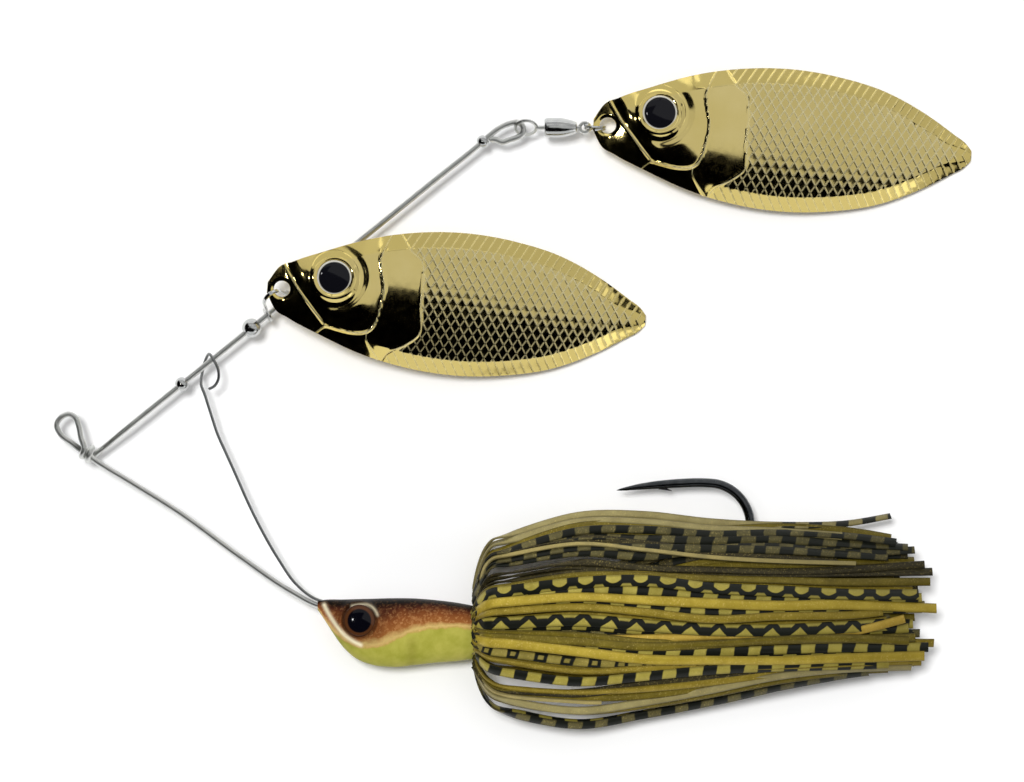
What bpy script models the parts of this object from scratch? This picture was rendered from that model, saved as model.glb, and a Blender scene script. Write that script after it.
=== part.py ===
"""Spinnerbait: a double-blade wire lure, modelled as the separate pieces it is assembled from.

The lure lies on its side. +X runs from the line tie to the rear blade's tip, +Y from the head up to
the rear blade, and +Z away from the surface it lies on. All sizes below are in millimetres.
"""

import math

import bmesh
import bpy
from mathutils import Matrix, Vector

MM = 0.001  # metres in a millimetre

# ---- driving dimensions -------------------------------------------------------------------------
PLANE_Z = 4.6  # height of the plane in which the wire and the hook are bent
MAIN_WIRE_R = 0.45
BRACE_WIRE_R = 0.225
TUNNEL_GAP = 0.06  # room left round a wire or shank that is cast in

ARM_ANGLE = math.radians(38.87)  # of the upper arm, from +X towards +Y
ARM_ORIGIN = Vector((-39.57, 10.26, PLANE_Z))  # centre of the middle bead at rest
ARM = Vector((math.cos(ARM_ANGLE), math.sin(ARM_ANGLE), 0.0))
ARM_SIDE = Vector((-math.sin(ARM_ANGLE), math.cos(ARM_ANGLE), 0.0))
UP = Vector((0.0, 0.0, 1.0))

BEAD_BORE_R = 0.52
BEADS = {"bead_front": (-13.6, 1.07), "bead_middle": (0.0, 1.45), "bead_rear": (45.15, 0.97)}

NOSE = Vector((-29.64, -31.84, PLANE_Z))  # where the main wire leaves the head
SHANK_Y = -35.6  # axis of the hook's shank, the barrel and the skirt
HEAD_REAR_X = -5.6
BARREL_R = 2.9
BARREL_END_X = 1.6
HOOK_EYE = Vector((-16.0, -35.2, PLANE_Z))
HOOK_R = 0.7
HOOK_EYE_R = 1.3
POINT_Y = -13.3  # axis of the hook's point leg

LOOP_CENTRE = Vector((0.61, 40.39, PLANE_Z))  # of the round end of the wire's end loop
LOOP_ANGLE = math.radians(18.4)
LOOP_R = 1.15
CHAIN_Y = 40.7  # axis of the swivel and the split ring

SWIVEL_RING_R = 1.6
SWIVEL_RING_WIRE = 0.27
SWIVEL_RING_TILT = math.radians(50)
SWIVEL_FRONT_X = 4.94
SWIVEL_REAR_X = 9.88
SWIVEL_R = 1.48
RACE_R = 1.12
STEM_R = 0.33
BALL_R = 0.26
BALL_COUNT = 6
REAR_EYE_X = 11.05
REAR_EYE_R = 0.75
REAR_EYE_WIRE = 0.27
SPLIT_RING_X = 12.6
SPLIT_RING_R = 1.55
SPLIT_RING_WIRE = 0.18
SPLIT_RING_PITCH = 0.38
SPLIT_RING_TURNS = 1.9

BLADE_T = 0.55
BLADE_HOLE_R = 1.14
BLADE_RISE = 2.6  # height of the dome over the blade's edge
BLADE_FLAT_END = 0.6  # the nose is flat round the hole, as far as this
# distance from the hole along the blade, and half the blade's width there
BLADE_OUTLINE = ((-2.2, 0.8), (-0.9, 3.0), (1.3, 4.3), (6.0, 6.3), (12.2, 8.6), (21.3, 10.5),
                 (28.0, 10.85), (35.0, 10.2), (42.0, 8.6), (48.5, 5.6), (53.0, 2.4), (55.7, 0.25))
BLADE_EYE = (7.6, 2.5)  # along the blade and towards its upper edge
BLADE_EYE_R = 2.6
# hole centre, turn about +Z and droop of the tip, in degrees
FRONT_BLADE = (Vector((-34.9, 16.2, 7.2)), -4.9, 6.9)
REAR_BLADE = (Vector((14.53, 41.05, 4.0)), -4.67, 3.7)

CLEVIS_ALONG = 5.4  # middle of the clevis along the arm, from ARM_ORIGIN
CLEVIS_LEAN = math.radians(29.5)  # of the bow from +Z towards the arm's upper side
CLEVIS_T = 0.34
CLEVIS_BOW_R = 1.6
CLEVIS_BOW_HEIGHT = 2.75  # from the arm's axis to the bow's centre
CLEVIS_FOOT = 2.25  # half the distance between the ears

# points that the pieces turn about: the bow's rear leg, the race's middle, the rear eye's centre and
# the split ring's rear end
FRONT_BLADE_PIVOT = Vector((-35.06, 15.79, 7.2))
SWIVEL_PIVOT = Vector((7.5, CHAIN_Y, PLANE_Z))
SPLIT_RING_PIVOT = Vector((REAR_EYE_X, CHAIN_Y, PLANE_Z))
REAR_BLADE_PIVOT = Vector((14.15, CHAIN_Y, 4.1))

SKIRT_FRONT_X = -5.45
SKIRT_SLOT = 1.1  # half the width of the slot that the hook's bend passes through
COLLAR_X = (-4.4, -0.9)
COLLAR_R = 3.9
# along the skirt: reach above the shank, below it, and towards +Z
SKIRT_OUTLINE = ((-5.45, 5.6, 5.6, 5.2), (-4.9, 10.4, 9.0, 7.2), (-1.8, 14.2, 12.4, 8.6),
                 (4.3, 16.8, 14.0, 9.4), (12.0, 17.3, 14.5, 9.6), (20.0, 17.0, 13.0, 9.2),
                 (28.6, 16.5, 11.4, 8.6), (37.7, 16.2, 9.8, 7.8), (46.8, 16.0, 8.0, 6.8),
                 (52.0, 16.0, 6.9, 6.2), (58.0, 14.5, 6.2, 5.6), (63.8, 9.5, 5.6, 5.0))
# start and end angle from +Y towards +Z, and where the tab's strands end
SKIRT_TABS = ((0, 59, 57.5), (61, 119, 62.5), (121, 179, 55.0), (181, 239, 52.0),
              (241, 299, 63.8), (301, 360, 59.0))

# head: along X, top, bottom and half-thickness
HEAD_STATIONS = ((-29.9, -31.35, -32.5, 0.62), (-29.0, -31.1, -33.3, 1.15), (-27.7, -31.0, -35.3, 1.95),
                 (-26.0, -31.0, -37.8, 2.75), (-23.9, -30.95, -39.8, 3.4), (-21.7, -30.9, -40.8, 3.85),
                 (-18.2, -30.8, -41.25, 4.1), (-14.6, -30.85, -40.95, 4.1), (-11.5, -31.1, -40.6, 4.05),
                 (-8.3, -31.5, -40.35, 3.95), (-5.6, -32.0, -40.0, 3.8))
HEAD_POWER = 2.3
HEAD_EYE = (-23.1, -34.1)
HEAD_EYE_R = 2.4


# ---- helpers ------------------------------------------------------------------------------------
def clear_scene():
    for obj in list(bpy.data.objects):
        bpy.data.objects.remove(obj, do_unlink=True)


def material(name, colour, roughness, metallic):
    mat = bpy.data.materials.new(name)
    mat.use_nodes = True
    shader = mat.node_tree.nodes["Principled BSDF"]
    shader.inputs["Base Color"].default_value = (*colour, 1.0)
    shader.inputs["Roughness"].default_value = roughness
    shader.inputs["Metallic"].default_value = metallic
    return mat


def add_object(name, data, mat):
    obj = bpy.data.objects.new(name, data)
    data.materials.append(mat)
    bpy.context.scene.collection.objects.link(obj)
    return obj


def mesh_object(name, bm, mat, smooth_angle=40):
    """Turns a bmesh in millimetres into an object in metres, with its faces pointing out."""
    bmesh.ops.recalc_face_normals(bm, faces=bm.faces)
    bmesh.ops.scale(bm, vec=(MM, MM, MM), verts=bm.verts)
    mesh = bpy.data.meshes.new(name)
    bm.to_mesh(mesh)
    bm.free()
    mesh.shade_smooth()
    mesh.set_sharp_from_angle(angle=math.radians(smooth_angle))
    return add_object(name, mesh, mat)


def smooth_path(points, steps):
    """Points on a Catmull-Rom curve through the given points."""
    last = len(points) - 1
    path = []
    for i in range(last):
        p0, p1, p2, p3 = (points[min(max(i + k, 0), last)] for k in (-1, 0, 1, 2))
        for step in range(steps):
            t = step / steps
            a = -0.5 * p0 + 1.5 * p1 - 1.5 * p2 + 0.5 * p3
            b = p0 - 2.5 * p1 + 2.0 * p2 - 0.5 * p3
            c = 0.5 * p2 - 0.5 * p0
            path.append(((a * t + b) * t + c) * t + p1)
    path.append(points[-1])
    return path


def smooth_value(stations, x, column):
    """Smoothly interpolates one column of a table whose first column is the position."""
    xs = [row[0] for row in stations]
    ys = [row[column] for row in stations]
    if x <= xs[0]:
        return ys[0]
    if x >= xs[-1]:
        return ys[-1]
    i = max(k for k in range(len(xs)) if xs[k] <= x)
    slopes = []
    for k in (i, i + 1):
        lo, hi = max(k - 1, 0), min(k + 1, len(xs) - 1)
        slopes.append((ys[hi] - ys[lo]) / (xs[hi] - xs[lo]))
    width = xs[i + 1] - xs[i]
    t = (x - xs[i]) / width
    return ((2 * t**3 - 3 * t**2 + 1) * ys[i] + (t**3 - 2 * t**2 + t) * width * slopes[0]
            + (3 * t**2 - 2 * t**3) * ys[i + 1] + (t**3 - t**2) * width * slopes[1])


def tube_curve(name, path, radius, resolution, scales=None, closed=False):
    """A curve with a round bevel; scales thins or thickens the wire point by point."""
    curve = bpy.data.curves.new(name, "CURVE")
    curve.dimensions = "3D"
    curve.bevel_depth = radius * MM
    curve.bevel_resolution = resolution
    curve.use_fill_caps = not closed
    spline = curve.splines.new("POLY")
    spline.points.add(len(path) - 1)
    spline.use_cyclic_u = closed
    spline.use_smooth = True
    for i, point in enumerate(path):
        spline.points[i].co = (*(point * MM), 1.0)
        spline.points[i].radius = scales[i] if scales else 1.0
    return curve


def tube_mesh(name, path, radius, resolution, scales=None, closed=False):
    """The same tube as a mesh, for pieces that are cut or joined."""
    curve = tube_curve(name, path, radius, resolution, scales, closed)
    holder = bpy.data.objects.new(name, curve)
    bpy.context.scene.collection.objects.link(holder)
    mesh = bpy.data.meshes.new_from_object(holder.evaluated_get(bpy.context.evaluated_depsgraph_get()))
    bpy.data.objects.remove(holder)
    weld = bmesh.new()
    weld.from_mesh(mesh)
    bmesh.ops.remove_doubles(weld, verts=weld.verts, dist=1e-7)
    bmesh.ops.recalc_face_normals(weld, faces=weld.faces)
    weld.to_mesh(mesh)
    weld.free()
    return mesh


def boolean(target, tool, operation):
    """Adds a Boolean whose tool is hidden and left out of the model."""
    tool.hide_render = True
    tool.display_type = "WIRE"
    modifier = target.modifiers.new(operation.lower(), "BOOLEAN")
    modifier.operation = operation
    modifier.solver = "EXACT"
    modifier.object = tool


def turned(profile, frame, segments):
    """A bmesh turned about a frame's X axis from (along, radius) points, closed at both ends."""
    bm = bmesh.new()
    rings = []
    for along, radius in profile:
        if radius == 0:
            rings.append([bm.verts.new(frame @ Vector((along, 0, 0)))])
            continue
        ring = []
        for i in range(segments):
            a = 2 * math.pi * i / segments
            ring.append(bm.verts.new(frame @ Vector((along, radius * math.cos(a), radius * math.sin(a)))))
        rings.append(ring)
    pairs = list(zip(rings, rings[1:]))
    if len(rings[0]) > 1:
        pairs.append((rings[-1], rings[0]))
    for first, second in pairs:
        for i in range(segments):
            a0, a1 = first[i % len(first)], first[(i + 1) % len(first)]
            b0, b1 = second[i % len(second)], second[(i + 1) % len(second)]
            corners = list(dict.fromkeys((a0, a1, b1, b0)))
            bm.faces.new(corners)
    return bm


def axis_frame(origin, direction):
    """A frame at origin whose X axis points along direction."""
    turn = direction.normalized().to_track_quat("X", "Z").to_matrix().to_4x4()
    return Matrix.Translation(origin) @ turn


def loft(sections):
    """A bmesh through rings of points that correspond, with a flat face on each end."""
    bm = bmesh.new()
    rings = [[bm.verts.new(p) for p in section] for section in sections]
    count = len(rings[0])
    for first, second in zip(rings, rings[1:]):
        for i in range(count):
            j = (i + 1) % count
            bm.faces.new((first[i], first[j], second[j], second[i]))
    bm.faces.new(rings[0])
    bm.faces.new(rings[-1])
    return bm


def arc_points(centre, radius, start, end, steps, u, v):
    """Points on an arc in the plane of u and v, from angle start to angle end in degrees."""
    points = []
    for i in range(steps + 1):
        a = math.radians(start + (end - start) * i / steps)
        points.append(centre + radius * (math.cos(a) * u + math.sin(a) * v))
    return points


def in_plane(x, y, rise=0.0):
    return Vector((x, y, PLANE_Z + rise))


def arm_point(along, side=0.0, rise=0.0):
    return ARM_ORIGIN + along * ARM + side * ARM_SIDE + rise * UP


# ---- wires --------------------------------------------------------------------------------------
def main_wire_path():
    """From the hooked end in the head, by the line tie eye, to the loop that holds the swivel."""
    bend_centre = HOOK_EYE - Vector((HOOK_EYE_R, 0, 0))
    buried = [bend_centre + Vector((-2.2, 0.3, -1.2)), bend_centre + Vector((-1.0, 0.1, -1.2))]
    buried += arc_points(bend_centre, 1.2, -90, 90, 6, Vector((1, 0, 0)), UP)
    lead_in = [in_plane(-20.2, -34.4, 1.1), in_plane(-23.5, -33.5, 0.5), in_plane(-26.8, -32.5, 0.05), NOSE]
    lower_arm = [in_plane(-33.44, -29.87), in_plane(-41.5, -24.4), in_plane(-50.46, -17.86),
                 in_plane(-58.0, -13.15), in_plane(-63.2, -9.96), in_plane(-66.6, -7.45)]
    path = buried + smooth_path(lead_in + lower_arm, 4)
    path += line_tie_path()
    straight = [arm_point(along) for along in (-23.5, -12.0, 0.0, 12.0, 24.0, 36.0, 45.5)]
    path += straight + end_loop_path()
    return path


def line_tie_path():
    """The open eye, then one and a half turns round the lower arm."""
    eye = [in_plane(-66.6, -7.45), in_plane(-68.7, -5.75), in_plane(-69.2, -4.5), in_plane(-68.6, -3.4),
           in_plane(-67.3, -2.85), in_plane(-66.35, -3.35), in_plane(-65.85, -4.6, 0.15),
           in_plane(-65.5, -6.2, 0.6)]
    wrap_start = in_plane(-65.0, -8.3)
    along = Vector((0.83, -0.557, 0)).normalized()
    across = Vector((0.557, 0.83, 0)).normalized()
    wrap_r = 2 * MAIN_WIRE_R + 0.1
    pitch = 2 * MAIN_WIRE_R + 0.14
    wrap = []
    steps = 18
    for i in range(steps + 1):
        turn = 1.5 * i / steps
        a = math.radians(90) + 2 * math.pi * turn
        wrap.append(wrap_start + pitch * turn * along + wrap_r * (math.cos(a) * across + math.sin(a) * UP))
    lead_out = [in_plane(-62.1, -7.95, -0.9), in_plane(-60.4, -6.55, -0.5), arm_point(-23.5)]
    out = smooth_path([wrap[-1]] + lead_out, 4)
    return smooth_path(eye + wrap[:1], 3)[1:-1] + wrap + out[1:-1]


def end_loop_path():
    """The long closed eye at the end of the upper arm."""
    along = Vector((math.cos(LOOP_ANGLE), math.sin(LOOP_ANGLE), 0))
    across = Vector((-math.sin(LOOP_ANGLE), math.cos(LOOP_ANGLE), 0))
    start = [arm_point(45.5), arm_point(46.9, 0.08), LOOP_CENTRE + LOOP_R * across - 1.6 * along]
    top = smooth_path(start, 4)[1:]
    end = arc_points(LOOP_CENTRE, LOOP_R, 90, -90, 10, along, across)
    bottom = LOOP_CENTRE - LOOP_R * across
    tail = smooth_path([bottom - 1.6 * along, bottom - 2.6 * along, Vector((-2.66, 38.5, PLANE_Z))], 3)
    return top + end + tail


def brace_wire_path():
    """From the nose in a bow to the upper arm, with a small eye wrapped round the arm."""
    points = [in_plane(-25.6, -31.9, 0.7), in_plane(-27.6, -31.5, 0.45), in_plane(-29.6, -31.0, 0.35),
              in_plane(-32.8, -28.65, 0.15), in_plane(-35.4, -25.0), in_plane(-37.8, -20.9),
              in_plane(-40.0, -16.5), in_plane(-41.95, -12.1), in_plane(-43.6, -8.44),
              in_plane(-44.75, -5.85), in_plane(-45.7, -2.96), in_plane(-46.75, 0.3)]
    eye = [in_plane(-47.25, 1.6, -0.45), in_plane(-47.1, 3.5, -0.85), in_plane(-46.6, 5.4, -0.75),
           in_plane(-46.05, 6.3, 0.0), in_plane(-45.3, 5.4, 0.8), in_plane(-44.6, 3.9, 0.8),
           in_plane(-44.65, 2.3, 0.5), in_plane(-45.3, 1.35, 0.35), in_plane(-46.0, 1.0, 0.4)]
    return smooth_path(points + eye, 4)


def hook_path():
    """From the eye in the lead, along the shank and round the bend to the point."""
    x_axis, y_axis = Vector((1, 0, 0)), Vector((0, 1, 0))
    path = arc_points(HOOK_EYE, HOOK_EYE_R, -75, -345, 14, x_axis, y_axis)
    path += [HOOK_EYE + Vector((1.62, -0.16, 0)), HOOK_EYE + Vector((2.2, -0.36, 0))]
    path += [in_plane(x, SHANK_Y) for x in (-12.6, -8.0, -2.0, 4.0, 10.0, 16.0)]
    low_r, high_r = 15.2, 6.4
    bend_x = 21.0
    path += arc_points(in_plane(bend_x, SHANK_Y + low_r), low_r, -90, 0, 12, x_axis, y_axis)
    high_centre = in_plane(bend_x + low_r - high_r, POINT_Y - high_r)
    path += arc_points(high_centre, high_r, 0, 90, 8, x_axis, y_axis)
    path += [in_plane(25.0, POINT_Y - 0.08), in_plane(21.5, POINT_Y - 0.35), in_plane(19.2, POINT_Y - 0.6),
             in_plane(17.4, POINT_Y - 0.87), in_plane(15.9, POINT_Y - 1.1)]
    return path


def hook_scales(path):
    """Full thickness along the shank, thinner at the eye, tapered to the point."""
    scales = []
    for i, point in enumerate(path):
        left = len(path) - 1 - i
        if point.x < HOOK_EYE.x + 1.7:
            scales.append(0.8)
        else:
            scales.append({0: 0.06, 1: 0.36, 2: 0.64, 3: 0.88}.get(left, 1.0))
    return scales


def build_wires(steel, dark_steel):
    main = tube_curve("main_wire", main_wire_path(), MAIN_WIRE_R, 2)
    add_object("main_wire", main, steel)
    brace = tube_curve("brace_wire", brace_wire_path(), BRACE_WIRE_R, 1)
    add_object("brace_wire", brace, steel)
    path = hook_path()
    hook = add_object("hook", tube_mesh("hook", path, HOOK_R, 2, hook_scales(path)), dark_steel)
    hook.data.shade_smooth()
    barb_base = in_plane(22.1, POINT_Y - 0.62)
    barb_tip = in_plane(24.2, POINT_Y - 1.22)
    frame = axis_frame(barb_base, barb_tip - barb_base)
    barb = mesh_object("barb_shape", turned(((0, 0), (0.05, 0.32), (2.15, 0.04), (2.18, 0)), frame, 8),
                       dark_steel)
    boolean(hook, barb, "UNION")


# ---- head ---------------------------------------------------------------------------------------
def head_value(x, column):
    return smooth_value(HEAD_STATIONS, x, column)


def head_section(x, points=24):
    top, bottom, half = (head_value(x, k) for k in (1, 2, 3))
    middle, reach = (top + bottom) / 2, (top - bottom) / 2
    ring = []
    for i in range(points):
        a = 2 * math.pi * i / points
        c, s = math.cos(a), math.sin(a)
        y = middle + reach * math.copysign(abs(c) ** (2 / HEAD_POWER), c)
        z = PLANE_Z + half * math.copysign(abs(s) ** (2 / HEAD_POWER), s)
        ring.append(Vector((x, y, z)))
    return ring


def head_half_thickness(x, y):
    """Height of the head's cheek over the middle plane."""
    top, bottom, half = (head_value(x, k) for k in (1, 2, 3))
    middle, reach = (top + bottom) / 2, (top - bottom) / 2
    inside = max(1 - abs((y - middle) / reach) ** HEAD_POWER, 0.0)
    return half * inside ** (1 / HEAD_POWER)


def barrel_section(x, radius, points=24):
    ring = []
    for i in range(points):
        a = 2 * math.pi * i / points
        ring.append(Vector((x, SHANK_Y + radius * math.cos(a), PLANE_Z + radius * math.sin(a))))
    return ring


def build_head(paint, steel):
    first, last = HEAD_STATIONS[0][0], HEAD_STATIONS[-1][0]
    count = 18
    sections = [head_section(first + (last - first) * (i / count) ** 1.15) for i in range(count + 1)]
    barrel = ((HEAD_REAR_X + 0.02, BARREL_R), (-0.7, BARREL_R), (-0.5, 3.3), (0.1, 3.3),
              (BARREL_END_X - 0.3, 2.3), (BARREL_END_X, 1.9))
    sections += [barrel_section(x, radius) for x, radius in barrel]
    head = mesh_object("head", loft(sections), paint)
    path = hook_path()
    cutters = (
        ("wire_tunnel", tube_mesh("wire_tunnel", main_wire_path()[:34], MAIN_WIRE_R + TUNNEL_GAP, 2)),
        ("brace_tunnel", tube_mesh("brace_tunnel", brace_wire_path()[:24], BRACE_WIRE_R + TUNNEL_GAP, 1)),
        ("hook_tunnel", tube_mesh("hook_tunnel", path[:22], HOOK_R + TUNNEL_GAP, 2, hook_scales(path)[:22])),
    )
    for name, mesh in cutters:
        tool = add_object(name, mesh, steel)
        boolean(head, tool, "DIFFERENCE")


def lens(name, mat, centre, radius, height, surface, place, side=1.0):
    """A domed eye whose base follows the surface that it is stuck to."""
    bm = bmesh.new()
    segments, rings = 20, 3
    gap = 0.03
    layers = []
    for top in (0, 1):
        pole = None
        circles = []
        for r in range(rings + 1):
            share = r / rings
            circle = []
            for i in range(segments if r else 1):
                a = 2 * math.pi * i / segments
                u = centre[0] + radius * share * math.cos(a)
                v = centre[1] + radius * share * math.sin(a)
                dome = 0.25 + height * math.sqrt(max(1 - share**2, 0.0)) if top else 0.0
                circle.append(bm.verts.new(place(u, v, side * (surface(u, v) + gap + dome))))
            if r:
                circles.append(circle)
            else:
                pole = circle[0]
        layers.append(circles)
        for i in range(segments):
            bm.faces.new((pole, circles[0][i], circles[0][(i + 1) % segments]))
        for inner, outer in zip(circles, circles[1:]):
            for i in range(segments):
                j = (i + 1) % segments
                bm.faces.new((inner[i], inner[j], outer[j], outer[i]))
    low, high = layers[0][-1], layers[1][-1]
    for i in range(segments):
        j = (i + 1) % segments
        bm.faces.new((low[i], low[j], high[j], high[i]))
    return mesh_object(name, bm, mat)


def build_head_eyes(eye_mat):
    def place(x, y, height):
        return Vector((x, y, PLANE_Z + height))

    for name, side in (("head_eye_near", 1.0), ("head_eye_far", -1.0)):
        lens(name, eye_mat, HEAD_EYE, HEAD_EYE_R, 0.55, head_half_thickness, place, side)


# ---- skirt --------------------------------------------------------------------------------------
def build_collar(rubber):
    frame = axis_frame(in_plane(0, SHANK_Y), Vector((1, 0, 0)))
    start, end = COLLAR_X
    inner = BARREL_R + 0.06
    profile = ((start, inner), (start, COLLAR_R - 0.3), (start + 0.3, COLLAR_R),
               (end - 0.3, COLLAR_R), (end, COLLAR_R - 0.3), (end, inner))
    mesh_object("skirt_collar", turned(profile, frame, 24), rubber)


def skirt_inner_r(x):
    """Outside the collar and the barrel at the front, close round the shank behind them."""
    wide, narrow = COLLAR_R + 0.15, 1.7
    start, end = BARREL_END_X + 0.4, BARREL_END_X + 3.5
    share = min(max((x - start) / (end - start), 0.0), 1.0)
    return wide + (narrow - wide) * share * share * (3 - 2 * share)


def skirt_outer_r(x, angle):
    """Distance from the shank to the skirt's outside, which is flat where it lies on the table."""
    above, below, near = (smooth_value(SKIRT_OUTLINE, x, k) for k in (1, 2, 3))
    c, s = math.cos(angle), math.sin(angle)
    across = above if c >= 0 else below
    radius = 1 / math.sqrt((c / across) ** 2 + (s / near) ** 2)
    if s < 0:
        radius = min(radius, PLANE_Z / -s)
    return radius


def tab_section(x, start, end, steps=7):
    """One closed outline of a tab: the outer curve out and the inner curve back."""
    inner = skirt_inner_r(x)

    def limits(radius):
        slot = math.asin(min(SKIRT_SLOT / radius, 1.0))
        low = slot if start == 0 else math.radians(start)
        high = 2 * math.pi - slot if end == 360 else math.radians(end)
        return low, high

    outer_points, inner_points = [], []
    for i in range(steps + 1):
        share = i / steps
        low, high = limits(14.0)
        angle = low + (high - low) * share
        for _ in range(4):
            low, high = limits(skirt_outer_r(x, angle))
            angle = low + (high - low) * share
        radius = skirt_outer_r(x, angle)
        outer_points.append(in_plane(x, SHANK_Y + radius * math.cos(angle), radius * math.sin(angle)))
        low, high = limits(inner)
        angle = low + (high - low) * share
        inner_points.append(in_plane(x, SHANK_Y + inner * math.cos(angle), inner * math.sin(angle)))
    return outer_points + inner_points[::-1]


def build_skirt(silicone):
    for number, (start, end, tail_x) in enumerate(SKIRT_TABS, start=1):
        xs = [SKIRT_FRONT_X, -5.1, -4.4, -3.0, -1.0, 2.0, 5.5]
        xs += [9.0 + (tail_x - 9.0) * i / 6 for i in range(7)]
        sections = [tab_section(x, start, end) for x in xs]
        mesh_object(f"skirt_tab_{number}", loft(sections), silicone, 50)


# ---- beads, clevis and blades -------------------------------------------------------------------
def build_beads(bright):
    for name, (along, radius) in BEADS.items():
        frame = axis_frame(arm_point(along), ARM)
        mouth = math.asin(BEAD_BORE_R / radius)
        steps = 8
        profile = []
        for i in range(steps + 1):
            a = mouth + (math.pi - 2 * mouth) * i / steps
            profile.append((-radius * math.cos(a), radius * math.sin(a)))
        mesh_object(name, turned(profile, frame, 16), bright, 60)


def clevis_axes():
    out = math.sin(CLEVIS_LEAN) * ARM_SIDE + math.cos(CLEVIS_LEAN) * UP
    return out, ARM.cross(out).normalized()


def build_clevis(bright):
    """A strip bent into a bow, whose two flat ears are strung on the upper arm."""
    out, across = clevis_axes()
    middle = arm_point(CLEVIS_ALONG)

    def at(along, radial):
        return middle + along * ARM + radial * out

    bow_r, bow_height, foot = CLEVIS_BOW_R, CLEVIS_BOW_HEIGHT, CLEVIS_FOOT
    legs = 4
    start = 0.28
    shares = [start + (1 - start) * i / legs for i in range(legs)]
    spine = [at(-foot + (foot - bow_r) * share, bow_height * share) for share in shares]
    spine += arc_points(at(0, bow_height), bow_r, 180, 0, 10, ARM, out)
    spine += [at(foot - (foot - bow_r) * share, bow_height * share) for share in reversed(shares)]
    sections = []
    for i, point in enumerate(spine):
        ahead = spine[min(i + 1, len(spine) - 1)] - spine[max(i - 1, 0)]
        thick = across.cross(ahead).normalized() * CLEVIS_T / 2
        radial = (point - middle).dot(out)
        width = 0.3 + 0.5 * max(1 - radial / bow_height, 0.0)
        wide = across * width
        bevel = 0.62
        outline = ((1, bevel), (bevel, 1), (-bevel, 1), (-1, bevel), (-1, -bevel), (-bevel, -1),
                   (bevel, -1), (1, -bevel))
        sections.append([point + wide * a + thick * b for a, b in outline])
    clevis = mesh_object("clevis", loft(sections), bright)
    for side in (-1, 1):
        leg = (at(side * bow_r, bow_height) - at(side * foot, 0)).normalized()
        normal = across.cross(leg).normalized()
        half = CLEVIS_T / 2 + 0.03
        ear = turned(((-half, 0), (-half, 1.1), (-half + 0.08, 1.18), (half - 0.08, 1.18), (half, 1.1),
                      (half, 0)), axis_frame(at(side * foot, 0), normal), 18)
        boolean(clevis, mesh_object(f"ear_shape_{side}", ear, bright), "UNION")
    bore = turned(((-4, 0), (-4, 0.58), (4, 0.58), (4, 0)), axis_frame(middle, ARM), 16)
    boolean(clevis, mesh_object("clevis_bore", bore, bright), "DIFFERENCE")


def blade_half_width(s):
    return smooth_value(BLADE_OUTLINE, s, 1)


def blade_height(s, w):
    """Height of the blade's middle surface over its edge."""
    end = BLADE_OUTLINE[-1][0]
    share = min(max((s - BLADE_FLAT_END) / (end - BLADE_FLAT_END), 0.0), 1.0)
    crown = BLADE_RISE * math.sin(math.pi * share**0.8) ** 1.2
    across = min(abs(w) / blade_half_width(s), 1.0)
    return crown * (1 - across**2)


def blade_frame(pose):
    hole, turn, droop = pose
    turned_by = Matrix.Rotation(math.radians(turn), 4, "Z") @ Matrix.Rotation(math.radians(droop), 4, "Y")
    return Matrix.Translation(hole) @ turned_by


def blade_bmesh(frame):
    bm = bmesh.new()
    columns, rows = 10, 26
    start, end = BLADE_OUTLINE[0][0], BLADE_OUTLINE[-1][0]
    grids = []
    for offset in (-BLADE_T / 2, BLADE_T / 2):
        grid = []
        for i in range(rows + 1):
            share = i / rows
            s = start + (end - start) * (1 - math.cos(math.pi * share)) / 2
            half = blade_half_width(s)
            line = []
            for j in range(columns + 1):
                w = half * (2 * j / columns - 1)
                line.append(bm.verts.new(frame @ Vector((s, w, blade_height(s, w) + offset))))
            grid.append(line)
        for i in range(rows):
            for j in range(columns):
                bm.faces.new((grid[i][j], grid[i + 1][j], grid[i + 1][j + 1], grid[i][j + 1]))
        grids.append(grid)
    low, high = grids
    rim = [(i, 0) for i in range(rows)] + [(rows, j) for j in range(columns)]
    rim += [(i, columns) for i in range(rows, 0, -1)] + [(0, j) for j in range(columns, 0, -1)]
    for (i, j), (k, m) in zip(rim, rim[1:] + rim[:1]):
        bm.faces.new((low[i][j], low[k][m], high[k][m], high[i][j]))
    return bm


def build_blade(name, pose, gold, eye_mat):
    frame = blade_frame(pose)
    blade = mesh_object(name, blade_bmesh(frame), gold, 50)
    upright = frame @ Matrix.Rotation(math.radians(-90), 4, "Y")
    hole = turned(((-4, 0), (-4, BLADE_HOLE_R), (4, BLADE_HOLE_R), (4, 0)), upright, 24)
    boolean(blade, mesh_object(f"{name}_hole", hole, gold), "DIFFERENCE")

    def place(s, w, height):
        return frame @ Vector((s, w, height))

    def surface(s, w):
        return blade_height(s, w) + BLADE_T / 2

    lens(f"{name}_eye", eye_mat, BLADE_EYE, BLADE_EYE_R, 0.5, surface, place)


# ---- swivel and split ring ----------------------------------------------------------------------
def ring_mesh(name, centre, radius, wire, u, v, steps, resolution):
    path = arc_points(centre, radius, 0, 360, steps, u, v)[:-1]
    return tube_mesh(name, path, wire, resolution, closed=True)


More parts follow.
